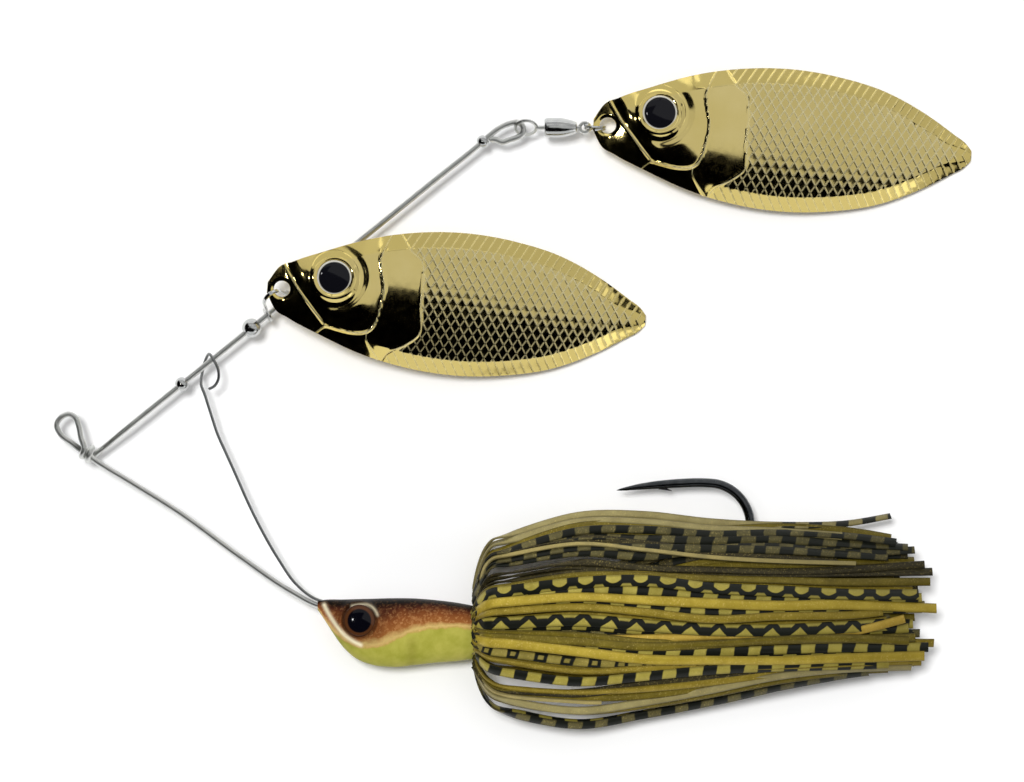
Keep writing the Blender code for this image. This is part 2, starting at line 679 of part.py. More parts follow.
def build_swivel(bright, steel):
    x_axis, y_axis = Vector((1, 0, 0)), Vector((0, 1, 0))
    frame = axis_frame(Vector((0, CHAIN_Y, PLANE_Z)), x_axis)
    cap_back = SWIVEL_FRONT_X + 0.42
    flange = cap_back + 2 * BALL_R + 0.1
    body = ((8.4, 0), (8.4, 0.36), (SWIVEL_REAR_X, 0.36), (SWIVEL_REAR_X, 0.85), (9.7, 0.98),
            (7.75, SWIVEL_R), (7.45, SWIVEL_R), (7.35, SWIVEL_R - 0.08), (7.2, SWIVEL_R - 0.08),
            (7.1, SWIVEL_R), (5.2, SWIVEL_R), (SWIVEL_FRONT_X, SWIVEL_R - 0.16),
            (SWIVEL_FRONT_X, RACE_R), (7.0, RACE_R), (7.2, 0.6), (7.2, 0))
    mesh_object("swivel_body", turned(body, frame, 20), bright, 35)
    cap = ((SWIVEL_FRONT_X + 0.04, STEM_R + 0.08), (SWIVEL_FRONT_X + 0.04, RACE_R - 0.06),
           (cap_back - 0.03, RACE_R - 0.06), (cap_back - 0.03, STEM_R + 0.08))
    mesh_object("swivel_cap", turned(cap, frame, 20), bright, 35)
    centre_x = LOOP_CENTRE.x + SWIVEL_RING_R - 0.1
    tilted = math.cos(SWIVEL_RING_TILT) * y_axis + math.sin(SWIVEL_RING_TILT) * UP
    centre = Vector((centre_x, CHAIN_Y, PLANE_Z))
    ring = ring_mesh("swivel_eye", centre, SWIVEL_RING_R, SWIVEL_RING_WIRE, x_axis, tilted, 28, 1)
    eye = add_object("swivel_eye", ring, steel)
    stem_start = centre_x + SWIVEL_RING_R - 0.1
    stem = ((stem_start, 0), (stem_start, STEM_R), (flange, STEM_R), (flange, 0.95), (flange + 0.35, 0.95),
            (flange + 0.45, 0.5), (flange + 0.45, 0))
    boolean(eye, mesh_object("stem_shape", turned(stem, frame, 16), steel), "UNION")
    for number in range(BALL_COUNT):
        a = 2 * math.pi * number / BALL_COUNT
        reach = (STEM_R + RACE_R) / 2
        offset = Vector((0, reach * math.cos(a), reach * math.sin(a)))
        bm = bmesh.new()
        bmesh.ops.create_uvsphere(bm, u_segments=8, v_segments=6, radius=BALL_R)
        centre = Vector((cap_back + BALL_R + 0.04, CHAIN_Y, PLANE_Z)) + offset
        bmesh.ops.translate(bm, vec=centre, verts=bm.verts)
        mesh_object(f"bearing_ball_{number + 1}", bm, steel, 80)
    rear_centre = Vector((REAR_EYE_X, CHAIN_Y, PLANE_Z))
    ring = ring_mesh("swivel_rear_eye", rear_centre, REAR_EYE_R, REAR_EYE_WIRE, x_axis, y_axis, 20, 1)
    rear = add_object("swivel_rear_eye", ring, steel)
    pin_end = REAR_EYE_X - REAR_EYE_R + 0.05
    pin = ((8.5, 0), (8.5, 0.3), (pin_end, 0.3), (pin_end, 0))
    boolean(rear, mesh_object("pin_shape", turned(pin, frame, 16), steel), "UNION")


def build_split_ring(bright):
    """Nearly two turns of wire lying side by side."""
    steps = 44
    path = []
    for i in range(steps + 1):
        turns = SPLIT_RING_TURNS * i / steps
        a = 2 * math.pi * turns
        drift = SPLIT_RING_PITCH * (turns - SPLIT_RING_TURNS / 2)
        path.append(Vector((SPLIT_RING_X + SPLIT_RING_R * math.sin(a), CHAIN_Y + drift,
                            PLANE_Z + SPLIT_RING_R * math.cos(a))))
    add_object("split_ring", tube_curve("split_ring", path, SPLIT_RING_WIRE, 1), bright)


def set_pivot(name, pivot):
    """Moves an object's origin onto its joint's axis and leaves its shape where it is."""
    obj = bpy.data.objects[name]
    obj.data.transform(Matrix.Translation(-pivot * MM))
    obj.location = pivot * MM


def set_pivots():
    for name, (along, _) in BEADS.items():
        set_pivot(name, arm_point(along))
    set_pivot("clevis", ARM_ORIGIN)
    for name in ("front_blade", "front_blade_eye"):
        set_pivot(name, FRONT_BLADE_PIVOT)
    for name in ("rear_blade", "rear_blade_eye"):
        set_pivot(name, REAR_BLADE_PIVOT)
    set_pivot("swivel_eye", LOOP_CENTRE)
    set_pivot("split_ring", SPLIT_RING_PIVOT)
    for name in ("swivel_body", "swivel_cap", "swivel_rear_eye"):
        set_pivot(name, SWIVEL_PIVOT)
    for number in range(BALL_COUNT):
        set_pivot(f"bearing_ball_{number + 1}", SWIVEL_PIVOT)


def main():
    clear_scene()
    steel = material("bright_steel", (0.62, 0.62, 0.60), 0.25, 1.0)
    bright = material("nickel_plate", (0.72, 0.71, 0.68), 0.15, 1.0)
    dark_steel = material("black_nickel", (0.10, 0.10, 0.11), 0.25, 1.0)
    gold = material("gold_plate", (0.83, 0.66, 0.32), 0.18, 1.0)
    paint = material("head_paint", (0.42, 0.33, 0.14), 0.3, 0.1)
    eye_mat = material("eye_dome", (0.03, 0.02, 0.02), 0.05, 0.0)
    silicone = material("skirt_silicone", (0.40, 0.36, 0.14), 0.35, 0.0)
    rubber = material("collar_rubber", (0.08, 0.08, 0.07), 0.6, 0.0)
    build_wires(steel, dark_steel)
    build_head(paint, steel)
    build_head_eyes(eye_mat)
    build_collar(rubber)
    build_skirt(silicone)
    build_beads(bright)
    build_clevis(bright)
    build_blade("front_blade", FRONT_BLADE, gold, eye_mat)
    build_blade("rear_blade", REAR_BLADE, gold, eye_mat)
    build_swivel(bright, steel)
    build_split_ring(bright)
    set_pivots()


main()
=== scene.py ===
"""Looks of the spinnerbait: its blades, head, skirt, wires and fittings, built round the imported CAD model.

Sizes are in millimetres and are turned into metres where an object is made. Lamps and the camera are
placed in metres. +X runs along the lure, +Y from the head up to the rear blade, and +Z away from the
surface that it lies on.
"""

import math
import random

import bmesh
import bpy
import numpy as np
from mathutils import Matrix, Quaternion, Vector


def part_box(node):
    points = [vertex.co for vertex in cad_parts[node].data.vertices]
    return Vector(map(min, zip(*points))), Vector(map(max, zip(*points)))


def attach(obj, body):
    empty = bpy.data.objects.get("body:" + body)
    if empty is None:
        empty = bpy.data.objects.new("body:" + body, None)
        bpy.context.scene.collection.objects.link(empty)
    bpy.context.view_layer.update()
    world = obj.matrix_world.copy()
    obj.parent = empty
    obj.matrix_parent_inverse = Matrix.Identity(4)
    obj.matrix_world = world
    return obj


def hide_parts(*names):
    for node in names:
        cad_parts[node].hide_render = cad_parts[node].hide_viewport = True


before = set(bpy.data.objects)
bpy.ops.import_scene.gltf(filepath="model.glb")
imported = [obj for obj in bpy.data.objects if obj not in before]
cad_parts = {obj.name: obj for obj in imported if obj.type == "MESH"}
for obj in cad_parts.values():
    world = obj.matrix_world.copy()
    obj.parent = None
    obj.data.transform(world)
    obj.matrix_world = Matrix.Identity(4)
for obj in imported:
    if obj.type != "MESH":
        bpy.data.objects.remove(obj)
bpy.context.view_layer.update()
MM = 0.001

# ---- places that the CAD gives ------------------------------------------------------------------
def middle(node):
    low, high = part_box(node)
    return (low + high) / 2 / MM


PLANE_Z = middle("bead_middle").z  # height of the wire's plane
SHANK_Y = middle("skirt_collar").y
COLLAR_FRONT_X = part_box("skirt_collar")[0].x / MM

MAIN_WIRE_R = 0.45
BRACE_WIRE_R = 0.225
HOOK_R = 0.7
ARM_ANGLE = math.radians(38.87)
ARM_ORIGIN = Vector((-39.57, 10.26, PLANE_Z))
ARM = Vector((math.cos(ARM_ANGLE), math.sin(ARM_ANGLE), 0.0))
ARM_SIDE = Vector((-math.sin(ARM_ANGLE), math.cos(ARM_ANGLE), 0.0))
UP = Vector((0.0, 0.0, 1.0))
LOOP_CENTRE = Vector((0.61, 40.39, PLANE_Z))
LOOP_ANGLE = math.radians(18.4)
LOOP_R = 1.15
HOOK_EYE = Vector((-16.0, -35.2, PLANE_Z))
POINT_Y = -13.3
CHAIN_Y = 40.7

# ---- blades: the same blade twice, in its own frame (along, across, height) -----------------------
BLADE_T = 0.5
BLADE_HOLE_R = 1.22
RIM_W = 2.4  # width of the sloping band round the edge
BLADE_OUTLINE = ((-2.2, 0.8), (-0.9, 3.0), (1.3, 4.3), (6.0, 6.3), (12.2, 8.6), (21.3, 10.5),
                 (28.0, 10.85), (35.0, 10.2), (42.0, 8.6), (48.5, 5.7), (53.0, 3.0), (55.0, 1.7),
                 (55.8, 0.8))
BLADE_CROWN = ((-2.2, 0.1), (0.0, 0.4), (1.6, 0.9), (3.2, 1.33), (5.0, 1.5), (8.0, 1.72), (12.0, 2.0),
               (20.0, 2.42), (28.0, 2.6), (36.0, 2.4), (44.0, 1.85), (50.0, 1.15), (54.0, 0.55),
               (55.8, 0.2))
BLADE_EYE = (7.6, 2.5)
BLADE_EYE_R = 2.62
EYE_DOME_H = 0.55
MOUTH_LINE = ((-0.3, 4.2), (0.6, 2.7), (2.4, 0.15), (4.7, -2.5), (7.0, -4.95))
JAW_LINE = ((7.0, -4.95), (6.2, -5.6), (5.2, -6.6))
GILL_LINE = ((7.0, -4.95), (10.8, -5.6), (13.2, -5.3), (14.4, -3.9), (15.0, -1.1), (15.3, 1.3),
             (14.7, 4.2), (14.5, 6.4), (15.9, 9.6))
PLATE_LINE = ((17.3, 9.9), (18.9, 7.6), (20.7, 6.0), (21.1, 3.0), (21.0, -0.4), (21.3, -4.6), (19.4, -6.7),
              (17.0, -8.1), (15.9, -9.9))
WEDGE_LINE = ((15.9, -9.9), (14.8, -8.6), (13.4, -6.6), (13.3, -5.4))
BLADE_ROWS, BLADE_COLUMNS = 340, 124
NET_SPACING = 1.18  # between parallel lines of the scale net
NET_ANGLE = math.radians(57.7)
# hole centre, turn about +Z, droop of the tip and roll towards -Y, in degrees
FRONT_BLADE = (Vector((-34.9, 16.2, 7.2)), -4.9, 6.9, 4.0)
REAR_BLADE = (Vector((14.53, 41.05, 4.0)), -4.67, 3.7, 0.0)

# ---- head and skirt ------------------------------------------------------------------------------
HEAD_STATIONS = ((-29.5, -31.3, -32.6, 0.62), (-28.8, -31.1, -33.6, 1.2), (-27.7, -31.0, -35.3, 1.95),
                 (-26.0, -31.0, -37.8, 2.75), (-23.9, -30.95, -39.8, 3.4), (-21.7, -30.9, -40.8, 3.85),
                 (-18.2, -30.8, -41.25, 4.1), (-14.6, -30.85, -40.95, 4.1), (-11.5, -31.1, -40.6, 4.05),
                 (-8.3, -31.5, -40.35, 3.95), (-5.6, -32.0, -40.0, 3.8))
HEAD_POWER = 2.3
HEAD_EYE = (-23.1, -34.1)
HEAD_EYE_R = 2.45

# along the skirt: reach above the shank, below it, and towards +Z
SKIRT_OUTLINE = ((-5.6, 6.0, 6.0, 4.9), (-4.9, 10.4, 9.0, 6.8), (-1.8, 14.2, 12.4, 8.4),
                 (4.3, 16.9, 14.4, 9.2), (12.0, 17.5, 14.8, 9.4), (20.0, 17.6, 13.0, 9.0),
                 (28.6, 16.8, 11.4, 8.4), (37.7, 16.4, 9.8, 7.4), (46.8, 16.3, 8.2, 6.3),
                 (58.0, 17.4, 7.0, 5.0), (64.5, 17.4, 6.5, 4.2))
STATIONS = (-5.4, 0.0, 10.0, 20.0, 30.0, 40.0, 50.0)
BULGE_X = -3.6  # between the first two stations, where every strand turns back
BAR_PITCH = 4.1
STRAND_W = 1.35
STRAND_WIDTHS = {"thin": 0.75, "bars": 1.6, "zigzag": 1.9, "arches": 1.8, "gold": 1.6}
STRAND_T = 0.34
# the strands that lie on top: pattern, layer, where it ends, and its place across the skirt at each of
# STATIONS and at its end
TOP_STRANDS = (
    ("stray", 0.0, 57.5, (7.2, 14.6, 17.4, 17.5, 16.4, 15.9, 16.1, 17.3)),
    ("plain", 1.0, 50.0, (6.8, 13.7, 16.5, 16.5, 15.5, 15.0, 14.6, 14.3)),
    ("dusk", 0.6, 58.2, (6.3, 12.3, 15.1, 15.3, 14.6, 14.8, 14.4, 13.4)),
    ("dusk", 2.0, 60.0, (6.0, 11.7, 14.1, 14.0, 13.6, 13.7, 13.2, 12.6)),
    ("thin", 0.2, 52.0, (5.4, 11.6, 13.2, 12.3, 11.2, 10.6, 10.3, 10.2)),
    ("dusk", 1.4, 56.9, (5.1, 10.9, 12.6, 12.6, 12.4, 12.2, 11.6, 11.2)),
    ("dusk", 1.8, 61.0, (4.8, 10.3, 11.9, 11.3, 12.4, 12.7, 11.8, 12.2)),
    ("dark", 2.0, 62.5, (4.3, 8.9, 10.4, 9.6, 9.3, 9.0, 9.2, 10.0)),
    ("dark", 2.4, 63.7, (3.9, 7.7, 9.2, 8.8, 8.6, 8.6, 8.7, 8.9)),
    ("dark", 2.6, 61.0, (4.1, 8.3, 9.8, 9.2, 8.9, 8.8, 8.9, 9.3)),
    ("olive", 1.2, 63.3, (3.5, 6.8, 8.4, 8.4, 8.0, 7.7, 7.4, 7.4)),
    ("arches", 0.4, 61.5, (3.2, 6.2, 7.4, 7.7, 6.6, 6.1, 5.6, 5.5)),
    ("bars", 1.2, 62.0, (3.0, 5.5, 6.4, 6.2, 5.5, 5.1, 4.9, 5.0)),
    ("gold", 0.0, 64.2, (2.7, 4.6, 5.3, 4.8, 4.3, 3.9, 4.0, 3.4)),
    ("bars", 1.2, 62.0, (2.2, 3.8, 4.5, 3.9, 3.2, 3.2, 3.4, 3.4)),
    ("amber", 0.0, 56.0, (2.0, 3.2, 3.8, 3.0, 1.9, 2.3, 2.4, 2.9)),
    ("zigzag", 0.8, 57.0, (0.9, 1.4, 1.8, 1.0, 0.3, 0.2, 0.6, 1.0)),
    ("bars", 2.0, 60.0, (0.5, 0.8, 1.0, 0.2, -0.7, -0.6, 0.0, 0.4)),
    ("olive", 1.0, 61.0, (0.0, -0.3, -0.6, -1.6, -1.7, -1.3, -1.2, -1.0)),
    ("glitter", 1.4, 59.3, (-0.2, -0.6, -1.0, -1.0, -0.6, -0.4, -0.3, 1.9)),
    ("bars", 1.0, 63.0, (-0.8, -1.3, -2.2, -3.0, -3.1, -2.8, -2.5, -2.5)),
    ("olive", 0.6, 60.0, (-0.5, -0.9, -1.4, -2.2, -1.9, -1.3, -1.1, -1.5)),
    ("gold", 0.0, 62.4, (-1.1, -1.8, -2.9, -4.1, -4.3, -4.4, -4.1, -3.8)),
    ("rings", 0.8, 58.0, (-2.2, -3.3, -4.5, -4.9, -4.9, -5.0, -4.8, -4.6)),
    ("amber", 0.7, 60.0, (-2.8, -4.6, -5.9, -5.6, -5.4, -5.2, -4.9, -4.6)),
    ("bars", 0.2, 57.0, (-3.6, -6.3, -7.5, -6.7, -5.8, -5.4, -5.2, -5.0)),
    ("dark", 1.8, 59.0, (-5.0, -8.9, -9.3, -8.0, -7.0, -6.2, -5.4, -5.0)),
    ("amber", 1.2, 62.0, (-4.9, -8.6, -9.2, -8.7, -7.7, -6.4, -5.2, -4.8)),
    ("olive", 1.6, 58.0, (-5.2, -9.3, -10.0, -9.7, -8.4, -6.8, -5.6, -5.2)),
    ("thin", 0.1, 13.5, (-5.3, -9.8, -10.6, -10.7, -10.7, -10.7, -10.7, -10.7)),
    ("plain", 0.3, 60.5, (-5.6, -10.6, -12.0, -10.7, -8.9, -6.9, -5.9, -5.6)),
    ("olive", 1.6, 57.0, (-5.6, -10.7, -12.1, -11.3, -9.6, -7.6, -6.3, -5.9)),
    ("dusk", 0.2, 54.0, (-6.6, -12.7, -14.4, -12.9, -11.0, -8.8, -6.9, -6.3)),
)
# strands inside the skirt, which close the view of the table between those on top
FILL_STRANDS = (
    (60.0, (2.5, 4.5, 6.0, 9.3, 11.5, 11.6, 11.4, 11.4)),
    (61.0, (2.2, 4.0, 5.5, 8.5, 10.6, 10.8, 10.5, 10.6)),
    (58.5, (3.0, 5.0, 7.0, 10.5, 12.8, 13.2, 12.6, 12.8)),
    (57.0, (3.2, 5.2, 7.4, 11.5, 14.2, 14.4, 14.0, 14.0)),
    (62.0, (2.0, 3.6, 5.0, 7.6, 9.6, 9.9, 9.8, 9.7)),
    (61.5, (1.4, 2.6, 3.6, 6.0, 7.4, 7.3, 6.6, 6.6)),
    (60.0, (1.0, 2.0, 2.4, 3.0, 2.6, 2.8, 3.0, 3.2)),
    (61.0, (0.4, 0.8, 0.9, 1.2, 0.9, 1.2, 1.8, 2.0)),
    (59.0, (0.0, -0.2, -0.4, -0.8, -1.3, -1.0, -0.6, -0.4)),
    (60.5, (-0.6, -1.2, -1.6, -2.6, -3.0, -2.6, -2.2, -2.0)),
    (58.0, (-1.0, -2.0, -3.0, -4.0, -4.5, -4.0, -3.6, -3.4)),
    (61.0, (-2.0, -3.6, -5.0, -6.0, -6.4, -5.6, -5.0, -4.9)),
)
# for each layer of fill strands: kinds in turn, layer and how many steps deeper, how much shorter, and
# the scale and shift of the places across
FILL_LAYERS = ((("fill", "olive", "dark"), 4.5, 1, 0.0, 1.0, 0.0),
               (("dark", "bars", "amber"), 9.5, 1, 1.5, 0.9, 0.3),
               (("olive", "dusk", "bars"), 14.0, 4, 2.0, 0.75, -0.4))
OUTER_LAYERS = 4.5  # layers below this one spread out only behind the collar
UNDER_COLLAR_R, FRONT_EDGE_R = 3.45, 3.9  # how far out a strand lies under the collar and at its edge
TAB_ANGLE = 60  # degrees round the shank that one tab takes up

# ---- wires and fittings ---------------------------------------------------------------------------
WRAP_START = (-65.0, -8.3)
WRAP_TURNS, WRAP_STEPS, WRAP_PITCH = 1.5, 18, 1.04
WRAP_PAINTED_SHADE = (-65.7, -7.7)  # where painted shade darkens the wrap below the line tie
BEAD_BORE_R = 0.54
# bead, body, place along the arm, radius
BEADS = (("bead_front", "front_bead", -13.6, 1.07), ("bead_middle", "clevis_bead", 0.0, 1.45),
         ("bead_rear", "end_bead", 45.15, 0.97))
# closed outlines of turned pieces, as (along, radius)
BARREL_OUTLINE = ((4.94, 1.14), (4.94, 1.22), (5.0, 1.33), (5.12, 1.41), (5.35, 1.465), (5.8, 1.48),
                  (6.9, 1.48), (7.3, 1.47), (7.7, 1.43), (8.1, 1.36), (8.7, 1.21), (9.3, 1.03),
                  (9.65, 0.9), (9.82, 0.78), (9.88, 0.62), (9.88, 0.36), (8.4, 0.36), (8.4, 0.05),
                  (7.2, 0.05), (7.2, 0.6), (7.0, 1.12), (5.2, 1.12))
CAP_OUTLINE = ((4.98, 0.41), (4.96, 0.5), (4.99, 0.8), (5.02, 1.0), (5.08, 1.06), (5.33, 1.06),
               (5.33, 0.41))
COLLAR_OUTLINE = ((-4.4, 3.42), (-4.36, 3.66), (-4.2, 3.84), (-3.9, 3.9), (-3.3, 3.9), (-2.9, 3.84),
                  (-2.65, 3.76), (-2.4, 3.84), (-2.0, 3.9), (-1.4, 3.9), (-1.1, 3.84), (-0.94, 3.66),
                  (-0.9, 3.42))

# ---- studio, in metres ----------------------------------------------------------------------------
CAMERA_DISTANCE, CAMERA_VIEW_WIDTH = 0.9, 0.1556
CAMERA_Y = 0.00068
SENSOR_WIDTH = 36.0


# ---- numbers and paths ---------------------------------------------------------------------------
def table_value(stations, x, column):
    """Smoothly interpolates one column of a table whose first column is the position."""
    xs = [row[0] for row in stations]
    ys = [row[column] for row in stations]
    slopes = np.gradient(np.array(ys, float), np.array(xs, float))
    x = np.clip(np.asarray(x, float), xs[0], xs[-1])
    i = np.clip(np.searchsorted(xs, x, side="right") - 1, 0, len(xs) - 2)
    xs, ys = np.array(xs), np.array(ys)
    width = xs[i + 1] - xs[i]
    t = (x - xs[i]) / width
    return ((2 * t**3 - 3 * t**2 + 1) * ys[i] + (t**3 - 2 * t**2 + t) * width * slopes[i]
            + (3 * t**2 - 2 * t**3) * ys[i + 1] + (t**3 - t**2) * width * slopes[i + 1])


def smooth_path(points, steps):
    """Points on a Catmull-Rom curve through the given points, which are vectors of any length."""
    points = [np.array(p, float) for p in points]
    last = len(points) - 1
    path = []
    for i in range(last):
        p0, p1, p2, p3 = (points[min(max(i + k, 0), last)] for k in (-1, 0, 1, 2))
        for step in range(steps):
            t = step / steps
            path.append(0.5 * (2 * p1 + (p2 - p0) * t + (2 * p0 - 5 * p1 + 4 * p2 - p3) * t**2
                               + (3 * p1 - p0 - 3 * p2 + p3) * t**3))
    path.append(points[-1])
    return np.array(path)


def smoothstep(low, high, x):
    t = np.clip((x - low) / (high - low), 0, 1)
    return t * t * (3 - 2 * t)


def line_distance(s, w, line):
    """Distance of each point from a line of points."""
    best = np.full(np.shape(s), 1e9)
    for (s0, w0), (s1, w1) in zip(line[:-1], line[1:]):
        ds, dw = s1 - s0, w1 - w0
        t = np.clip(((s - s0) * ds + (w - w0) * dw) / max(ds * ds + dw * dw, 1e-9), 0, 1)
        best = np.minimum(best, np.hypot(s - s0 - t * ds, w - w0 - t * dw))
    return best


def inside(s, w, outline):
    """True for each point inside a closed outline."""
    found = np.zeros(np.shape(s), bool)
    for (s0, w0), (s1, w1) in zip(outline, np.roll(outline, -1, axis=0)):
        crosses = (w0 > w) != (w1 > w)
        at = s0 + (w - w0) * (s1 - s0) / np.where(w1 == w0, 1e-9, w1 - w0)
        found ^= crosses & (s < at)
    return found


def signed_distance(s, w, outline):
    """Distance from a closed outline, positive inside it."""
    closed = np.vstack([outline, outline[:1]])
    distance = line_distance(s, w, closed)
    return np.where(inside(s, w, outline), distance, -distance)


def fine_path(points, spacing=0.3):
    """A smooth curve through uneven points, sampled closely; straight stretches stay straight."""
    points = np.array([list(p) for p in points], float)
    gaps = np.linalg.norm(np.diff(points, axis=0), axis=1)
    rates = np.diff(points, axis=0) / gaps[:, None]
    slopes = np.vstack([rates[:1], np.zeros((len(points) - 2, 3)), rates[-1:]])
    share = (gaps[1:] / (gaps[1:] + gaps[:-1]))[:, None]
    slopes[1:-1] = rates[:-1] * share + rates[1:] * (1 - share)
    path = []
    for i, gap in enumerate(gaps):
        steps = max(2, math.ceil(gap / spacing))
        for t in np.arange(steps) / steps:
            path.append((2 * t**3 - 3 * t**2 + 1) * points[i] + (t**3 - 2 * t**2 + t) * gap * slopes[i]
                        + (3 * t**2 - 2 * t**3) * points[i + 1] + (t**3 - t**2) * gap * slopes[i + 1])
    path.append(points[-1])
    return np.array(path)


def arc_points(centre, radius, start, end, steps, u, v):
    """Points on an arc in the plane of u and v, from angle start to angle end in degrees."""
    angles = [math.radians(start + (end - start) * i / steps) for i in range(steps + 1)]
    return [centre + radius * (math.cos(a) * u + math.sin(a) * v) for a in angles]


def ring_faces(rows, sides):
    """Faces between rows of points that each run round a form, with a cap at either end."""
    index = np.arange(rows * sides).reshape(rows, sides)
    following = np.roll(index, -1, axis=1)
    faces = np.stack([index[:-1], following[:-1], following[1:], index[1:]], -1).reshape(-1, 4).tolist()
    return faces + [index[0][::-1].tolist(), index[-1].tolist()]


def tube_shape(path, radii, sides=20):
    """Points and faces of a round tube with domed ends, whose rings do not twist."""
    tangent = np.gradient(path, axis=0)
    tangent /= np.linalg.norm(tangent, axis=1)[:, None]
    normal = np.cross(tangent[0], (0.3, 0.2, 0.9))
    normals = []
    for direction in tangent:
        normal = normal - direction * normal.dot(direction)
        normal /= np.linalg.norm(normal)
        normals.append(normal)
    normals = np.array(normals)
    side = np.cross(tangent, normals)
    radii = np.broadcast_to(np.asarray(radii, float), (len(path),))
    ends = []
    for i, way in ((0, -1), (-1, 1)):
        caps = [(way * radii[i] * 0.55 * math.sin(a), radii[i] * math.cos(a)) for a in (0.5, 1.0, 1.4)]
        ends.append([(path[i] + tangent[i] * reach, normals[i], side[i], r) for reach, r in caps])
    rings = ends[0][::-1] + list(zip(path, normals, side, radii)) + ends[1]
    angles = np.linspace(0, 2 * math.pi, sides, endpoint=False)
    points = np.array([centre + r * (np.cos(angles)[:, None] * u + np.sin(angles)[:, None] * v)
                       for centre, u, v, r in rings])
    return points.reshape(-1, 3), ring_faces(len(points), sides)


def turned_shape(profile, origin, axis, segments=64):
    """Points and faces turned about an axis from a closed outline of (along, radius) points."""
    axis = np.array(axis, float) / np.linalg.norm(axis)
    u = np.cross(axis, (0.0, 0.0, 1.0))
    u /= np.linalg.norm(u)
    v = np.cross(axis, u)
    angles = np.linspace(0, 2 * math.pi, segments, endpoint=False)
    ring = np.cos(angles)[:, None] * u + np.sin(angles)[:, None] * v
    points = np.array([np.array(origin) + along * axis + radius * ring for along, radius in profile])
    index = np.arange(points.shape[0] * segments).reshape(-1, segments)
    below, above = index, np.roll(index, -1, axis=0)
    faces = np.stack([below, above, np.roll(above, -1, axis=1), np.roll(below, -1, axis=1)], -1)
    return points.reshape(-1, 3), faces.reshape(-1, 4).tolist()


def joined(*shapes):
    """Several (points, faces) shapes as one."""
    points, faces = [], []
    for shape_points, shape_faces in shapes:
        first = len(points)
        points += np.asarray(shape_points).tolist()
        faces += [[first + i for i in face] for face in shape_faces]
    return points, faces


# ---- objects --------------------------------------------------------------------------------------
def make_object(name, vertices, faces, mat, attributes=None):
    """A smooth mesh object from points in millimetres; attributes are numbers kept per point."""
    mesh = bpy.data.meshes.new(name)
    mesh.from_pydata((np.asarray(vertices, float) * MM).tolist(), [], faces)
    for key, values in (attributes or {}).items():
        layer = mesh.attributes.new(key, "FLOAT", "POINT")
        layer.data.foreach_set("value", np.asarray(values, np.float32))
    mesh.shade_smooth()
    mesh.materials.append(mat)
    obj = bpy.data.objects.new(name, mesh)
    bpy.context.scene.collection.objects.link(obj)
    return obj


def clean_mesh(obj, merge=0.0):
    """Drops loose points, merges those within merge metres, and turns every face outwards."""
    clean = bmesh.new()
    clean.from_mesh(obj.data)
    loose = [v for v in clean.verts if not v.link_faces]
    bmesh.ops.delete(clean, geom=loose, context="VERTS")
    if merge:
        bmesh.ops.remove_doubles(clean, verts=clean.verts, dist=merge)
    bmesh.ops.recalc_face_normals(clean, faces=clean.faces)
    clean.to_mesh(obj.data)
    clean.free()


def sharpen(obj, degrees=50):
    """Marks the edges where two faces meet at more than this angle as sharp."""
    obj.data.set_sharp_from_angle(angle=math.radians(degrees))


def place(obj, body, nodes):
    """Puts a finished piece on its body, in place of the CAD nodes that it stands for."""
    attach(obj, body)
    if nodes:
        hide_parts(*nodes)


